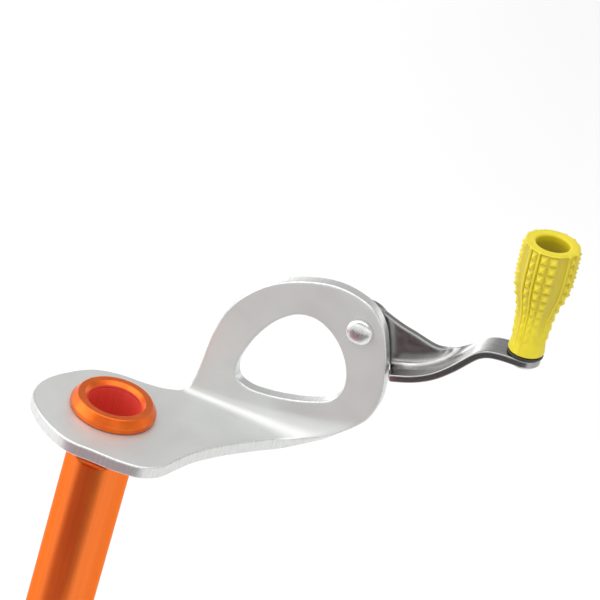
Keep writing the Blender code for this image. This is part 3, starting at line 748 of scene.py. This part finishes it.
def yellow_plastic():
    """Moulded yellow polyamide with a fine grain, and painted shade in its valleys and its
    hollow.
    """
    f = Finish(
        "yellow_plastic",
        (0.72, 0.60, 0.014),
        0.40,
        0.0,
        Subsurface_Weight=0.12,
        Subsurface_Scale=0.0012,
        Subsurface_Radius=(1.0, 0.8, 0.2),
        Specular_IOR_Level=0.45,
    )
    f.tint(f.noise(0.25, 3.0), (0.67, 0.55, 0.012), 0.4, 0.7)
    # Painted shade: the studs' valleys are darkened, and so is the hollow, darker towards its
    # floor.
    relief = f.add("Attribute", attribute_name="relief").outputs["Fac"]
    f.tint(relief, (0.50, 0.40, 0.03), 0.6, 0.0, 0.7)
    f.tint(relief, (0.46, 0.385, 0.09), -0.5, -3.0, 0.85)
    grain = f.noise(7.0, 3.0)
    f.vary_roughness(grain, 0.34, 0.46)
    f.bump(grain, 0.012)
    return f.mat


def black_nylon():
    f = Finish("black_nylon", (0.018, 0.018, 0.019), 0.45, 0.0)
    grain = f.noise(6.0, 3.0)
    f.tint(grain, (0.03, 0.03, 0.03), 0.4, 0.7)
    f.vary_roughness(grain, 0.38, 0.55)
    f.bump(grain, 0.01)
    return f.mat


# ---- hanger


def bend_radius(x):
    """The inside radius of the hanger's fold, which opens out along X."""
    along = max(0.0, x - BEND_X0) / BEND_SPAN
    return BEND_R_MIN + BEND_R_GROWTH * along**BEND_POWER


def fold_hanger(x, s, n):
    """Folds a point of the flat blank. s runs across the fold, n through the sheet."""
    r = bend_radius(x)
    mid = r + PLATE_T / 2
    start = FIN_FRONT_Y - r
    if s <= start:
        return (x, s, PLATE_T / 2 + n)
    angle = (s - start) / mid
    if angle < math.pi / 2:
        reach = mid - n
        return (x, start + reach * math.sin(angle), PLATE_T + r - reach * math.cos(angle))
    rise = s - start - mid * math.pi / 2
    return (x, FIN_FRONT_Y + PLATE_T / 2 - n, PLATE_T + r + rise)


def on_fin(x, z):
    """Where a point of the finished fin lies on the flat blank."""
    r = bend_radius(x)
    mid = r + PLATE_T / 2
    return (x, FIN_FRONT_Y - r + mid * math.pi / 2 + z - PLATE_T - r)


def cut_flat(radius, flat_y, angle):
    """A round's radius at that angle, where two flats cut it at flat_y on both sides."""
    return min(radius, flat_y / max(TINY, abs(math.sin(angle))))


def keyed(radius, flat_y, count):
    """A round outline with two flats, whose corners are exact."""
    corner = math.asin(flat_y / radius)
    sides = count // 4
    angles = [-corner + 2 * corner * i / sides for i in range(sides)]
    angles += [corner + (math.pi - 2 * corner) * i / sides for i in range(sides)]
    angles += [a + math.pi for a in angles]
    return [polar(cut_flat(radius, flat_y, a), a, 0.0)[:2] for a in angles]


def make_hanger(face, rim):
    front_edge = [
        (-19.5, -1.6), (-18.9, -6.8), (-15.2, -12.4), (-9.4, -17.3), (-3.6, -19.9),
        (2.5, -19.9), (9.5, -19.8), (15.0, -18.6), (18.9, -15.3), (21.2, -9.9),
        (23.6, -4.0), (28.2, 3.5), (33.6, 10.4), (39.4, 16.8), (44.6, 20.3), (50.1, 23.4),
        (55.3, 27.7), (58.5, 31.6),
    ]
    fin_edge = [
        (60.1, 20.5), (60.1, 25.1), (59.4, 29.5), (57.8, 35.6), (55.4, 41.4), (51.6, 45.3),
        (46.3, 47.1), (40.5, 47.3), (33.5, 45.4), (26.4, 41.7), (20.4, 35.8), (16.7, 29.2),
        (14.9, 21.4), (14.2, 13.0), (13.6, 7.6),
    ]
    back_edge = [
        (12.5, 23.4), (10.6, 20.3), (7.2, 18.3), (2.5, 17.2), (-4.4, 16.5), (-10.6, 14.0),
        (-15.0, 9.0), (-18.2, 3.4),
    ]
    eye = [
        (24.0, 11.9), (27.2, 10.5), (31.5, 10.6), (37.3, 11.7), (43.5, 13.7), (48.4, 16.4),
        (50.6, 20.3), (50.3, 25.3), (47.6, 30.9), (43.6, 34.9), (38.9, 36.9), (34.3, 36.3),
        (30.0, 33.0), (26.4, 27.7), (23.9, 21.5), (22.7, 15.6),
    ]
    outline = front_edge + [on_fin(x, z) for x, z in fin_edge] + back_edge
    eye = [on_fin(x, z) for x, z in eye]
    pivot = circle(PIVOT_X, PIVOT_Z, PIVOT_HOLE_R, HOLE_SIDES)
    loops = [
        inset(spline(outline, OUTLINE_STEPS), -FACE_MARGIN),
        inset(spline(eye, OUTLINE_STEPS), FACE_MARGIN / 2),
        keyed(TUBE_R + HOLE_GAP, FLAT_Y + HOLE_GAP, KEY_SIDES),
        [on_fin(x, z) for x, z in pivot],
    ]
    verts, faces, *rest = plate(loops, PLATE_SPACING, PLATE_T, PLATE_EDGE, fold_hanger)
    obj = make_piece(
        "hanger", verts, faces, "hanger", ["hanger_plate"], "satin_aluminium", [face, rim]
    )
    lay_out(obj, *rest)


# ---- tube, tip, collar


def thread_rows(z_top, z_end, radius, count, fade_top, fade_end):
    """Columns of points down a threaded length from the top, in the order of falling angle.

    The thread rises from nothing over fade_top pitches, and sinks over the last fade_end.
    """
    columns = []
    pitches = int((z_top - z_end) / THREAD_PITCH) - 1
    steps = [(turn + at, high) for turn in range(pitches) for at, high in THREAD_SHAPE]
    steps.append((float(pitches), 0.0))
    for j in range(count):
        a = -2 * math.pi * j / count
        column = []
        for at, high in steps:
            turn = int(at) + j / count
            grown = min(1.0, turn / fade_top, (pitches - turn) / fade_end)
            r = radius + THREAD_H * high * max(0.0, grown)
            z = z_top - THREAD_PITCH * (at + j / count)
            column.append(polar(r, a, z))
        columns.append(column)
    return columns


def join_thread(verts, faces, upper, columns, lower):
    """Joins a ring above, a right-handed helical grid and a ring below, of one column count."""
    count = len(columns)
    per = len(THREAD_SHAPE)
    index = []
    for column in columns:
        index.append(list(range(len(verts), len(verts) + len(column))))
        verts += column
    depth = len(columns[0])
    for j in range(count - 1):
        a, b = index[j], index[j + 1]
        for i in range(depth - 1):
            faces.append((a[i], b[i], b[i + 1], a[i + 1]))
        faces.append((upper[j], upper[j + 1], b[0], a[0]))
        faces.append((lower[j], lower[j + 1], b[-1], a[-1]))
    a, b = index[-1], index[0]
    for i in range(depth - 1 - per):
        faces.append((a[i], b[i + per], b[i + per + 1], a[i + 1]))
    faces.append((upper[-1], upper[0], *b[: per + 1], a[0]))
    faces.append((lower[-1], lower[0], b[-1], *a[depth - 1 - per :]))


def ring(verts, count, radius, z, flat=None):
    """Adds a ring of points in the order of falling angle, cut by two flats if asked for."""
    start = len(verts)
    for j in range(count):
        a = -2 * math.pi * j / count
        r = cut_flat(radius, flat, a) if flat else radius
        verts.append(polar(r, a, z))
    return list(range(start, start + count))


def line_bore(obj, radius):
    """Gives the faces inside that radius the second material."""
    for face in obj.data.polygons:
        if math.hypot(face.center.x, face.center.y) < radius * MM:
            face.material_index = 1


def make_tube(mat, bore):
    verts, faces = [], []
    n = TUBE_SIDES
    socket_z = TUBE_END_Z + SPIGOT_LEN + SOCKET_ROOM
    edge = TUBE_CHAMFER
    rows = [
        (BORE_R, socket_z),
        (BORE_R, BORE_RING_Z),
        (BORE_R, TUBE_TOP_Z - BORE_CHAMFER),
        (BORE_R + BORE_CHAMFER, TUBE_TOP_Z),
        (TUBE_R - edge, TUBE_TOP_Z, FLAT_Y - edge),
        (TUBE_R, TUBE_TOP_Z - edge, FLAT_Y),
        (TUBE_R, FLAT_FULL_Z, FLAT_Y),
    ]
    for i in range(1, FLAT_STEPS + 1):
        t = i / FLAT_STEPS
        flat = FLAT_Y + (TUBE_R - FLAT_Y) * (1 - math.sqrt(1 - t * t))
        rows.append((TUBE_R, FLAT_FULL_Z + (FLAT_END_Z - FLAT_FULL_Z) * t, flat))
    rows += [(TUBE_R, z) for z in (FLAT_END_Z - 0.4, PLAIN_RING_Z, THREAD_TOP_Z + 1.0)]
    chain = [ring(verts, n, *row) for row in rows]
    bridge(faces, chain)
    rows = [
        (TUBE_R, TUBE_END_Z + TUBE_END_CHAMFER),
        (TUBE_R - 0.12, TUBE_END_Z + 0.12),
        (TUBE_R - TUBE_END_CHAMFER, TUBE_END_Z),
        (SPIGOT_R + 0.1, TUBE_END_Z),
        (SPIGOT_R, TUBE_END_Z + 0.1),
        (SPIGOT_R, socket_z),
    ]
    end = [ring(verts, n, *row) for row in rows]
    bridge(faces, end + [chain[0]])
    columns = thread_rows(THREAD_TOP_Z, THREAD_END_Z, TUBE_R, n, fade_top=0.8, fade_end=0.35)
    join_thread(verts, faces, chain[-1], columns, end[0])
    obj = make_piece(
        "tube", verts, faces, "hanger", ["screw_tube"], "orange_anodised", [mat, bore], 30.0
    )
    line_bore(obj, BORE_R + 0.1)


def make_tip(mat):
    """Steel crown: a spigot inside the tube, a body with a thread lead, and four raked teeth."""
    n = TIP_TEETH * TIP_STEPS
    shoulder_z = TUBE_END_Z - SHOULDER_GAP
    spigot_z = TUBE_END_Z + SPIGOT_LEN
    bore = BORE_R - 0.1
    verts, faces = [], []
    rows = [
        (bore, TIP_BODY_Z),
        (bore, spigot_z - 0.2),
        (bore + 0.2, spigot_z),
        (SPIGOT_R - 0.35, spigot_z),
        (SPIGOT_R - SPIGOT_FIT, spigot_z - 0.2),
        (SPIGOT_R - SPIGOT_FIT, shoulder_z),
        (TIP_R - TIP_CHAMFER, shoulder_z),
        (TIP_R - 0.09, shoulder_z - 0.09),
        (TIP_R, shoulder_z - TIP_CHAMFER),
    ]
    chain = [ring(verts, n, *row) for row in rows]
    bridge(faces, chain)
    bore_low, skirt = chain[0], ring(verts, n, TIP_R, TIP_BODY_Z)
    top, end = shoulder_z - 0.5, TIP_BODY_Z + 0.2
    columns = thread_rows(top, end, TIP_R, n, fade_top=0.25, fade_end=0.4)
    join_thread(verts, faces, chain[-1], columns, skirt)
    outer_r, inner_r = TIP_R - 0.15, BORE_R + 0.25
    low_out, low_in, high_out, high_in = {}, {}, {}, {}

    def corner(radius, j, z):
        verts.append(polar(radius, -2 * math.pi * j / n, z))
        return len(verts) - 1

    for j in range(n):
        left = (-j) % TIP_STEPS
        z = TIP_END_Z + TOOTH_H * (left / TIP_STEPS) ** TOOTH_CURVE
        low_out[j] = corner(outer_r, j, z)
        low_in[j] = corner(inner_r, j, z + TOOTH_SINK)
        if left == 0:
            high_out[j] = corner(outer_r, j, TIP_END_Z + TOOTH_H)
            high_in[j] = corner(inner_r, j, TIP_END_Z + TOOTH_H + TOOTH_SINK)
    for i in range(n):
        j = (i + 1) % n
        near_out, near_in = low_out[i], low_in[i]
        outer = [skirt[i], skirt[j], low_out[j]]
        inner = [bore_low[i], bore_low[j], low_in[j]]
        if i in high_out:
            near_out, near_in = high_out[i], high_in[i]
        if j in high_out:
            outer = [skirt[i], skirt[j], high_out[j], low_out[j]]
            inner = [bore_low[i], bore_low[j], high_in[j], low_in[j]]
            faces.append((low_out[j], high_out[j], high_in[j], low_in[j]))
        faces.append(tuple(outer + [near_out]))
        faces.append(tuple(reversed(inner + [near_in])))
        faces.append((near_out, low_out[j], low_in[j], near_in))
    make_piece("tip", verts, faces, "hanger", ["cutting_tip"], "crown_steel", [mat], 30.0)


def make_collar(mat, bore):
    z0, z1 = COLLAR_Z, COLLAR_Z + COLLAR_H
    seat = z0 + COLLAR_COUNTERBORE
    wide = TUBE_R + 0.15
    corners = [
        (wide, z0, 0.1),
        (COLLAR_R - 0.1, z0, 0.3),
        (COLLAR_R, z0 + 0.3, 0.3),
        (COLLAR_R, z0 + 1.3, 0.5),
        (COLLAR_RIM_R, z1, 0.35),
        (COLLAR_BORE_R + COLLAR_MOUTH, z1, 0.15),
        (COLLAR_BORE_R, z1 - COLLAR_MOUTH, 0.3),
        (COLLAR_BORE_R, seat, 0.0),
        (wide, seat, 0.0),
    ]
    verts, faces = turned(rounded(corners, 5), COLLAR_SIDES)
    obj = make_piece(
        "collar", verts, faces, "hanger", ["head_collar"], "orange_collar", [mat, bore], 50.0
    )
    line_bore(obj, COLLAR_BORE_R + 0.05)


# ---- pivot


def dome(radius, height, base, steps, sign):
    """Profile points of a shallow cap, from its edge to the axis."""
    edge = 0.3 * height
    out = [(radius - 0.1, base), (radius, base + sign * 0.1), (radius, base + sign * edge)]
    for i in range(1, steps):
        a = math.pi / 2 * i / steps
        out.append((radius * math.cos(a), base + sign * (edge + (height - edge) * math.sin(a))))
    out.append((0.0, base + sign * height))
    return out


def make_rivet(mat):
    """Domed head in front of the fin, shank through the stack, set head behind it."""
    front = FIN_FRONT_Y - HEAD_GAP
    back = ARM_Y1 + STACK_GAP + BACK_WASHER_T + HEAD_GAP
    head = dome(DOME_R, DOME_H, front, steps=14, sign=-1)
    tail = dome(SET_HEAD_R, SET_HEAD_H, back, steps=10, sign=1)
    profile = head[::-1] + [(PIVOT_PIN_R, front), (PIVOT_PIN_R, back)] + tail
    verts, faces = turned(profile, PIN_SIDES)
    verts = about_pivot(verts)
    make_piece("rivet", verts, faces, "hanger", ["pivot_rivet"], "rivet_steel", [mat], 40.0)


def washer(inner, outer, start, thick, edge):
    """A flat ring with rounded corners, about Z."""
    corners = [
        (inner, start, edge / 2),
        (outer, start, edge),
        (outer, start + thick, edge),
        (inner, start + thick, edge / 2),
    ]
    return turned(rounded(corners, 3), WASHER_SIDES)


def make_pivot_washers(mat):
    front, back = FIN_BACK_Y + STACK_GAP, ARM_Y1 + STACK_GAP
    for name, outer, start, thick in (
        ("friction_washer", FRICTION_WASHER_R, front, FRICTION_WASHER_T),
        ("backing_washer", BACK_WASHER_R, back, BACK_WASHER_T),
    ):
        node = f"pivot_{name}"
        verts, faces = washer(PIVOT_HOLE_R, outer, start, thick, edge=0.12)
        verts = about_pivot(verts)
        make_piece(name, verts, faces, "hanger", [node], "washer_steel", [mat], 50.0)


# ---- crank arm


def arm_line():
    """The middle line of the arm's strip, seen from the front, as close points."""
    points = [
        (40.0, 23.2), (52.0, 26.9), (61.3, 30.2), (66.8, 32.4), (71.3, 35.3), (75.4, 39.5),
        (78.4, 43.4), (80.3, 45.6), (82.4, 46.9), (85.3, 47.6), (KNOB_X, KNOB_Z),
        (96.4, KNOB_Z + 5.6 * math.tan(KNOB_TILT)),
    ]
    return np.array(spline(points, 24, closed=False))


class Arm:
    """Folds the arm's flat blank.

    The strip runs along its line, and a web folds up from the strip's back edge.
    """

    def __init__(self):
        self.line = arm_line()
        self.fold_start = ARM_W - ARM_T - ARM_BEND_R
        self.mid = ARM_BEND_R + ARM_T / 2
        self.length = self.mid * math.pi / 2

    def height(self, x):
        return float(np.interp(x, self.line[:, 0], self.line[:, 1]))

    def at(self, x):
        """Height of the line and its upward normal at this X."""
        ahead = self.height(x + SLOPE_REACH)
        behind = self.height(x - SLOPE_REACH)
        size = math.hypot(2 * SLOPE_REACH, ahead - behind)
        return self.height(x), (behind - ahead) / size, 2 * SLOPE_REACH / size

    def full(self, x):
        """How far the fold has been made: 1 is a right angle, 0 is flat."""
        t = (FOLD_NONE_X - x) / (FOLD_NONE_X - FOLD_FULL_X)
        t = min(1.0, max(0.0, t))
        return t * t * (3 - 2 * t)

    def fold(self, x, s, n):
        """Folds a point of the flat blank. s runs across the strip, n through the sheet."""
        z, nx, nz = self.at(x)
        if s <= self.fold_start:
            return (x + nx * n, STRIP_Y0 + s, z + nz * n)
        turn = self.full(x) * math.pi / 2
        across = min(s - self.fold_start, self.length)
        if turn > FOLD_FLAT:
            radius = self.length / turn
            angle = across / radius
            y = self.fold_start + (radius - n) * math.sin(angle)
            up = radius - (radius - n) * math.cos(angle)
        else:
            angle = 0.0
            y = self.fold_start + across
            up = n
        px, py, pz = x + nx * up, STRIP_Y0 + y, z + nz * up
        rest = s - self.fold_start - self.length
        if rest > 0:
            py += rest * math.cos(angle)
            pz += rest * math.sin(angle)
        return (px, py, pz)

    def on_web(self, x, z):
        """Where a point of the finished web lies on the blank."""
        u = x
        for _ in range(WEB_PASSES):
            _, nx, _ = self.at(u)
            u = x - nx * self.mid
        base, _, nz = self.at(u)
        return (u, self.fold_start + self.length + z - base - nz * self.mid)


def make_arm(face, rim):
    arm = Arm()
    flat = arm.fold_start + arm.length
    end_x, end_s = KNOB_X, ARM_W / 2
    outline = [(60.9, 0.5), (61.5, 0.0)]
    for i in range(STRIP_FRONT_COUNT):
        crown = ARM_CROWN * math.sin(math.pi * (i + 1) / (STRIP_FRONT_COUNT + 2))
        outline.append((STRIP_FRONT_X + STRIP_STEP * i, -crown))
    for i in range(END_SIDES + 1):
        a = -math.pi / 2 + math.pi * i / END_SIDES
        outline.append((end_x + end_s * math.cos(a), end_s + end_s * math.sin(a)))
    outline += [(STRIP_BACK_X - STRIP_STEP * i, ARM_W) for i in range(STRIP_BACK_COUNT)]
    top = [(69.6, 39.8), (65.0, 40.5), (60.0, 41.5), (56.8, 42.4)]
    top = [(78.0, 8.5), (75.2, 9.2)] + [arm.on_web(x, z) for x, z in top]
    outline += spline([outline[-1]] + top, 8, closed=False)[1:]
    # The web's round end, from 50 to 285 degrees about the pivot.
    for i in range(48):
        x, z, _ = polar(ARM_EYE_R, math.radians(50.0 + 5.0 * i), 0.0)
        outline.append(arm.on_web(PIVOT_X + x, PIVOT_Z + z))
    end = [arm.on_web(54.6, 31.4), (57.0, flat - 0.9), (58.6, flat - 1.7)]
    end += [(59.7, flat - 2.4), (59.9, flat - 3.3), (60.25, flat - 4.8), (60.5, 2.2)]
    outline += spline(end, 5, closed=False)
    pivot = circle(PIVOT_X, PIVOT_Z, PIVOT_HOLE_R, HOLE_SIDES)
    pin = circle(KNOB_X, ARM_W / 2, AXLE_BORE_R, HOLE_SIDES)
    loops = [outline, [arm.on_web(x, z) for x, z in pivot], pin]
    verts, faces, *rest = plate(loops, ARM_SPACING, ARM_T, ARM_EDGE, arm.fold)
    obj = make_piece(
        "crank", verts, faces, "crank", ["crank_arm"], "crank_steel", [face, rim]
    )
    lay_out(obj, *rest)


# ---- knob


def stud_height(z):
    grown = min(1.0, max(0.0, (z - STUD_GROW_Z) / STUD_GROW_LEN))
    return STUD_LOW + STUD_RISE * grown


def knob_columns():
    """(angle, kind, height) of each column of the grip, all the way round."""
    return [
        (math.radians(PANEL_PHASE + p * 360.0 / KNOB_PANELS + angle), kind, height)
        for p in range(KNOB_PANELS)
        for angle, kind, height in PANEL
    ]


def stud_faces(face, peaks):
    """A face of the grip, cut in two from its corner at a stud's peak if it has one."""
    for k, corner in enumerate(face):
        if corner in peaks:
            a, b, c, d = face[k:] + face[:k]
            return [(a, b, c), (a, c, d)]
    return [face]


def make_knob(mat):
    """Grip with ribs, flutes and pyramid studs, open at the top down to the axle's end."""
    columns = knob_columns()
    line = np.array(spline(KNOB_PROFILE, 8, closed=False))
    verts, faces, relief = [], [], []
    peaks = set()

    def level(z, depth, peak=False, back=0.0):
        """A ring of the grip, with valleys of that share of their depth."""
        start = len(verts)
        for a, kind, height in columns:
            if kind == "stud" and peak:
                peaks.add(len(verts))
                height = 1.0
            sunk = stud_height(z) * depth * (1.0 - height)
            r = float(np.interp(z, line[:, 0], line[:, 1])) - back - sunk
            verts.append(polar(r, a, z))
            # The material paints shade in the valleys from this relief.
            relief.append(1.0 - sunk)
        return list(range(start, len(verts)))

    def plain(r, z):
        start = len(verts)
        verts.extend(polar(r, a, z) for a, _, _ in columns)
        # The hollow's floor gets HOLLOW_RELIEF, from which the material paints its darkest
        # shade.
        relief.extend([HOLLOW_RELIEF if z == KNOB_FLOOR else 1.0] * len(columns))
        return list(range(start, len(verts)))

    inner = [
        plain(KNOB_HOLLOW_R, KNOB_FLOOR),
        plain(AXLE_BORE_R, KNOB_FLOOR),
        plain(AXLE_BORE_R, 0.0),
        *(plain(r, z) for r, z in KNOB_FOOT),
        level(1.4, 0.3),
        level(2.3, 0.5),
    ]
    bridge(faces, inner)
    half = STUD_PITCH / 2
    rows = [
        level(STUD_START + half * i, 1.0, peak=i % 2 == 1)
        for i in range(2 * STUD_ROWS + 1)
    ]
    bridge(faces, [inner[-1], rows[0]])
    grip = []
    bridge(grip, rows)
    for face in grip:
        faces += stud_faces(face, peaks)
    outer = [
        rows[-1],
        *(level(KNOB_L - below, 0.5, back=back) for below, back in KNOB_RIM),
        plain(KNOB_HOLLOW_R + 0.6, KNOB_L),
        plain(KNOB_HOLLOW_R + 0.18, KNOB_L - 0.18),
        plain(KNOB_HOLLOW_R, KNOB_L - 0.6),
        inner[0],
    ]
    bridge(faces, outer)
    verts = about_knob([(x, y, z + KNOB_BASE) for x, y, z in verts])
    obj = make_piece(
        "knob", verts, faces, "knob", ["crank_knob"], "yellow_plastic", [mat], soften=KNOB_SOFTEN
    )
    heights = obj.data.attributes.new("relief", "FLOAT", "POINT")
    heights.data.foreach_set("value", relief)


def make_axle(mat):
    """Pin fixed in the arm's end, with a low head below and a set head in the knob's hollow."""
    half = ARM_T / 2
    seat = KNOB_BASE + KNOB_FLOOR + STACK_GAP + TOP_WASHER_T + HEAD_GAP
    corners = [
        (0.0, -half - 1.0, 0.0),
        (AXLE_FOOT_R, -half - 1.0, 0.55),
        (AXLE_FOOT_R, -half - HEAD_GAP, 0.1),
        (AXLE_R, -half - HEAD_GAP, 0.0),
        (AXLE_R, seat, 0.0),
        (AXLE_HEAD_R, seat, 0.1),
        (AXLE_HEAD_R, seat + 0.7, 0.4),
        (2.0, seat + 1.2, 0.5),
        (0.0, seat + 1.35, 0.0),
    ]
    verts, faces = turned(rounded(corners, 4), PIN_SIDES)
    verts = about_knob(verts)
    make_piece("axle", verts, faces, "crank", ["knob_axle"], "rivet_steel", [mat], 40.0)


def make_knob_washers(nylon, steel):
    thrust = (THRUST_WASHER_R, ARM_T / 2 + STACK_GAP, THRUST_WASHER_T)
    top = (TOP_WASHER_R, KNOB_BASE + KNOB_FLOOR + STACK_GAP, TOP_WASHER_T)
    for name, slot, mat, sizes in (
        ("thrust_washer", "black_nylon", nylon, thrust),
        ("top_washer", "washer_steel", steel, top),
    ):
        node = f"knob_{name}"
        verts, faces = washer(AXLE_BORE_R, *sizes, edge=0.15)
        make_piece(name, about_knob(verts), faces, "crank", [node], slot, [mat], 50.0)


# ---- stage


def make_floor():
    mesh = bpy.data.meshes.new("floor")
    size, z = FLOOR_REACH * MM, FLOOR_Z * MM
    corners = [(-size, -size, z), (size, -size, z), (size, size, z), (-size, size, z)]
    mesh.from_pydata(corners, [], [(0, 1, 2, 3)])
    f = Finish("floor_paper", (0.94, 0.94, 0.94), 0.9, 0.0)
    f.tint(f.noise(0.004, 2.0), (0.93, 0.93, 0.93), 0.4, 0.6)
    mesh.materials.append(f.mat)
    floor = add_object("floor", mesh)


def make_light(name, place, size, power):
    """A soft rectangular light that aims at the object."""
    data = bpy.data.lights.new(name, "AREA")
    data.shape = "RECTANGLE"
    data.size, data.size_y = (side * MM for side in size)
    data.energy = power
    obj = add_object(name, data)
    obj.location = Vector(place) * MM
    aim = (Vector(AIM) - Vector(place)).to_track_quat("-Z", "Y")
    obj.rotation_euler = aim.to_euler()
    obj.visible_camera = False


def make_sky():
    """A pale light tent: bright low down, darker above, pale again overhead."""
    world = bpy.data.worlds.new("studio")
    bpy.context.scene.world = world
    world.use_nodes = True
    tree = world.node_tree
    place = tree.nodes.new("ShaderNodeTexCoord")
    split = tree.nodes.new("ShaderNodeSeparateXYZ")
    ramp = tree.nodes.new("ShaderNodeValToRGB")
    tree.links.new(place.outputs["Generated"], split.inputs[0])
    tree.links.new(split.outputs["Z"], ramp.inputs[0])
    stops = ramp.color_ramp.elements
    while len(stops) < len(SKY):
        stops.new(0.5)
    for stop, (at, value) in zip(stops, SKY):
        stop.position = at
        stop.color = (value, value, value, 1.0)
    glow = tree.nodes["Background"].inputs
    tree.links.new(ramp.outputs[0], glow["Color"])
    glow["Strength"].default_value = SKY_STRENGTH


def make_flag(name, colour, corners):
    """A sheet above the floor that only reflections see, as in a product studio."""
    mesh = bpy.data.meshes.new(name)
    z = (FLOOR_Z + FLAG_LIFT) * MM
    verts = [(x * MM, y * MM, z) for x, y in corners]
    mesh.from_pydata(verts, [], [tuple(range(len(verts)))])
    mesh.materials.append(Finish(name, colour, 1.0, 0.0).mat)
    flag = add_object(name, mesh)
    flag.visible_camera = False
    flag.visible_shadow = False
    flag.visible_diffuse = False


def make_camera():
    a, e, r = (math.radians(v) for v in (VIEW_AZIMUTH, VIEW_HEIGHT, VIEW_ROLL))
    across = Vector((math.cos(a), math.sin(a), 0.0))
    back = Vector((math.sin(a) * math.cos(e), -math.cos(a) * math.cos(e), math.sin(e)))
    rise = back.cross(across)
    right = across * math.cos(r) + rise * math.sin(r)
    up = back.cross(right)
    target = Vector((0.0, 0.0, PLATE_T)) + across * VIEW_OFFSET[0] + rise * VIEW_OFFSET[1]
    place = (target + back * VIEW_RANGE) * MM
    data = bpy.data.cameras.new("camera")
    data.sensor_width = SENSOR_W
    data.lens = VIEW_LENS
    data.clip_start, data.clip_end = CLIP_METRES
    obj = add_object("camera", data)
    turn = Matrix((right, up, back)).transposed().to_4x4()
    obj.matrix_world = Matrix.Translation(place) @ turn
    bpy.context.scene.camera = obj


# ---- main


def main():
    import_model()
    bpy.context.scene.view_settings.view_transform = "Standard"
    make_camera()
    make_floor()
    make_sky()
    for number, flag in enumerate(FLAGS, 1):
        make_flag(f"flag_{number}", *flag)
    for light in LIGHTS:
        make_light(*light)
    steel = washer_steel()
    rivet = rivet_steel()
    make_hanger(tumbled_aluminium(), plate_edge())
    bore = bore_painted_shade()
    make_tube(anodised_tube(), bore)
    make_tip(ground_steel())
    make_collar(anodised_collar(), bore)
    make_rivet(rivet)
    make_pivot_washers(steel)
    make_arm(crank_steel(), crank_edge())
    make_knob(yellow_plastic())
    make_axle(rivet)
    make_knob_washers(black_nylon(), steel)


main()
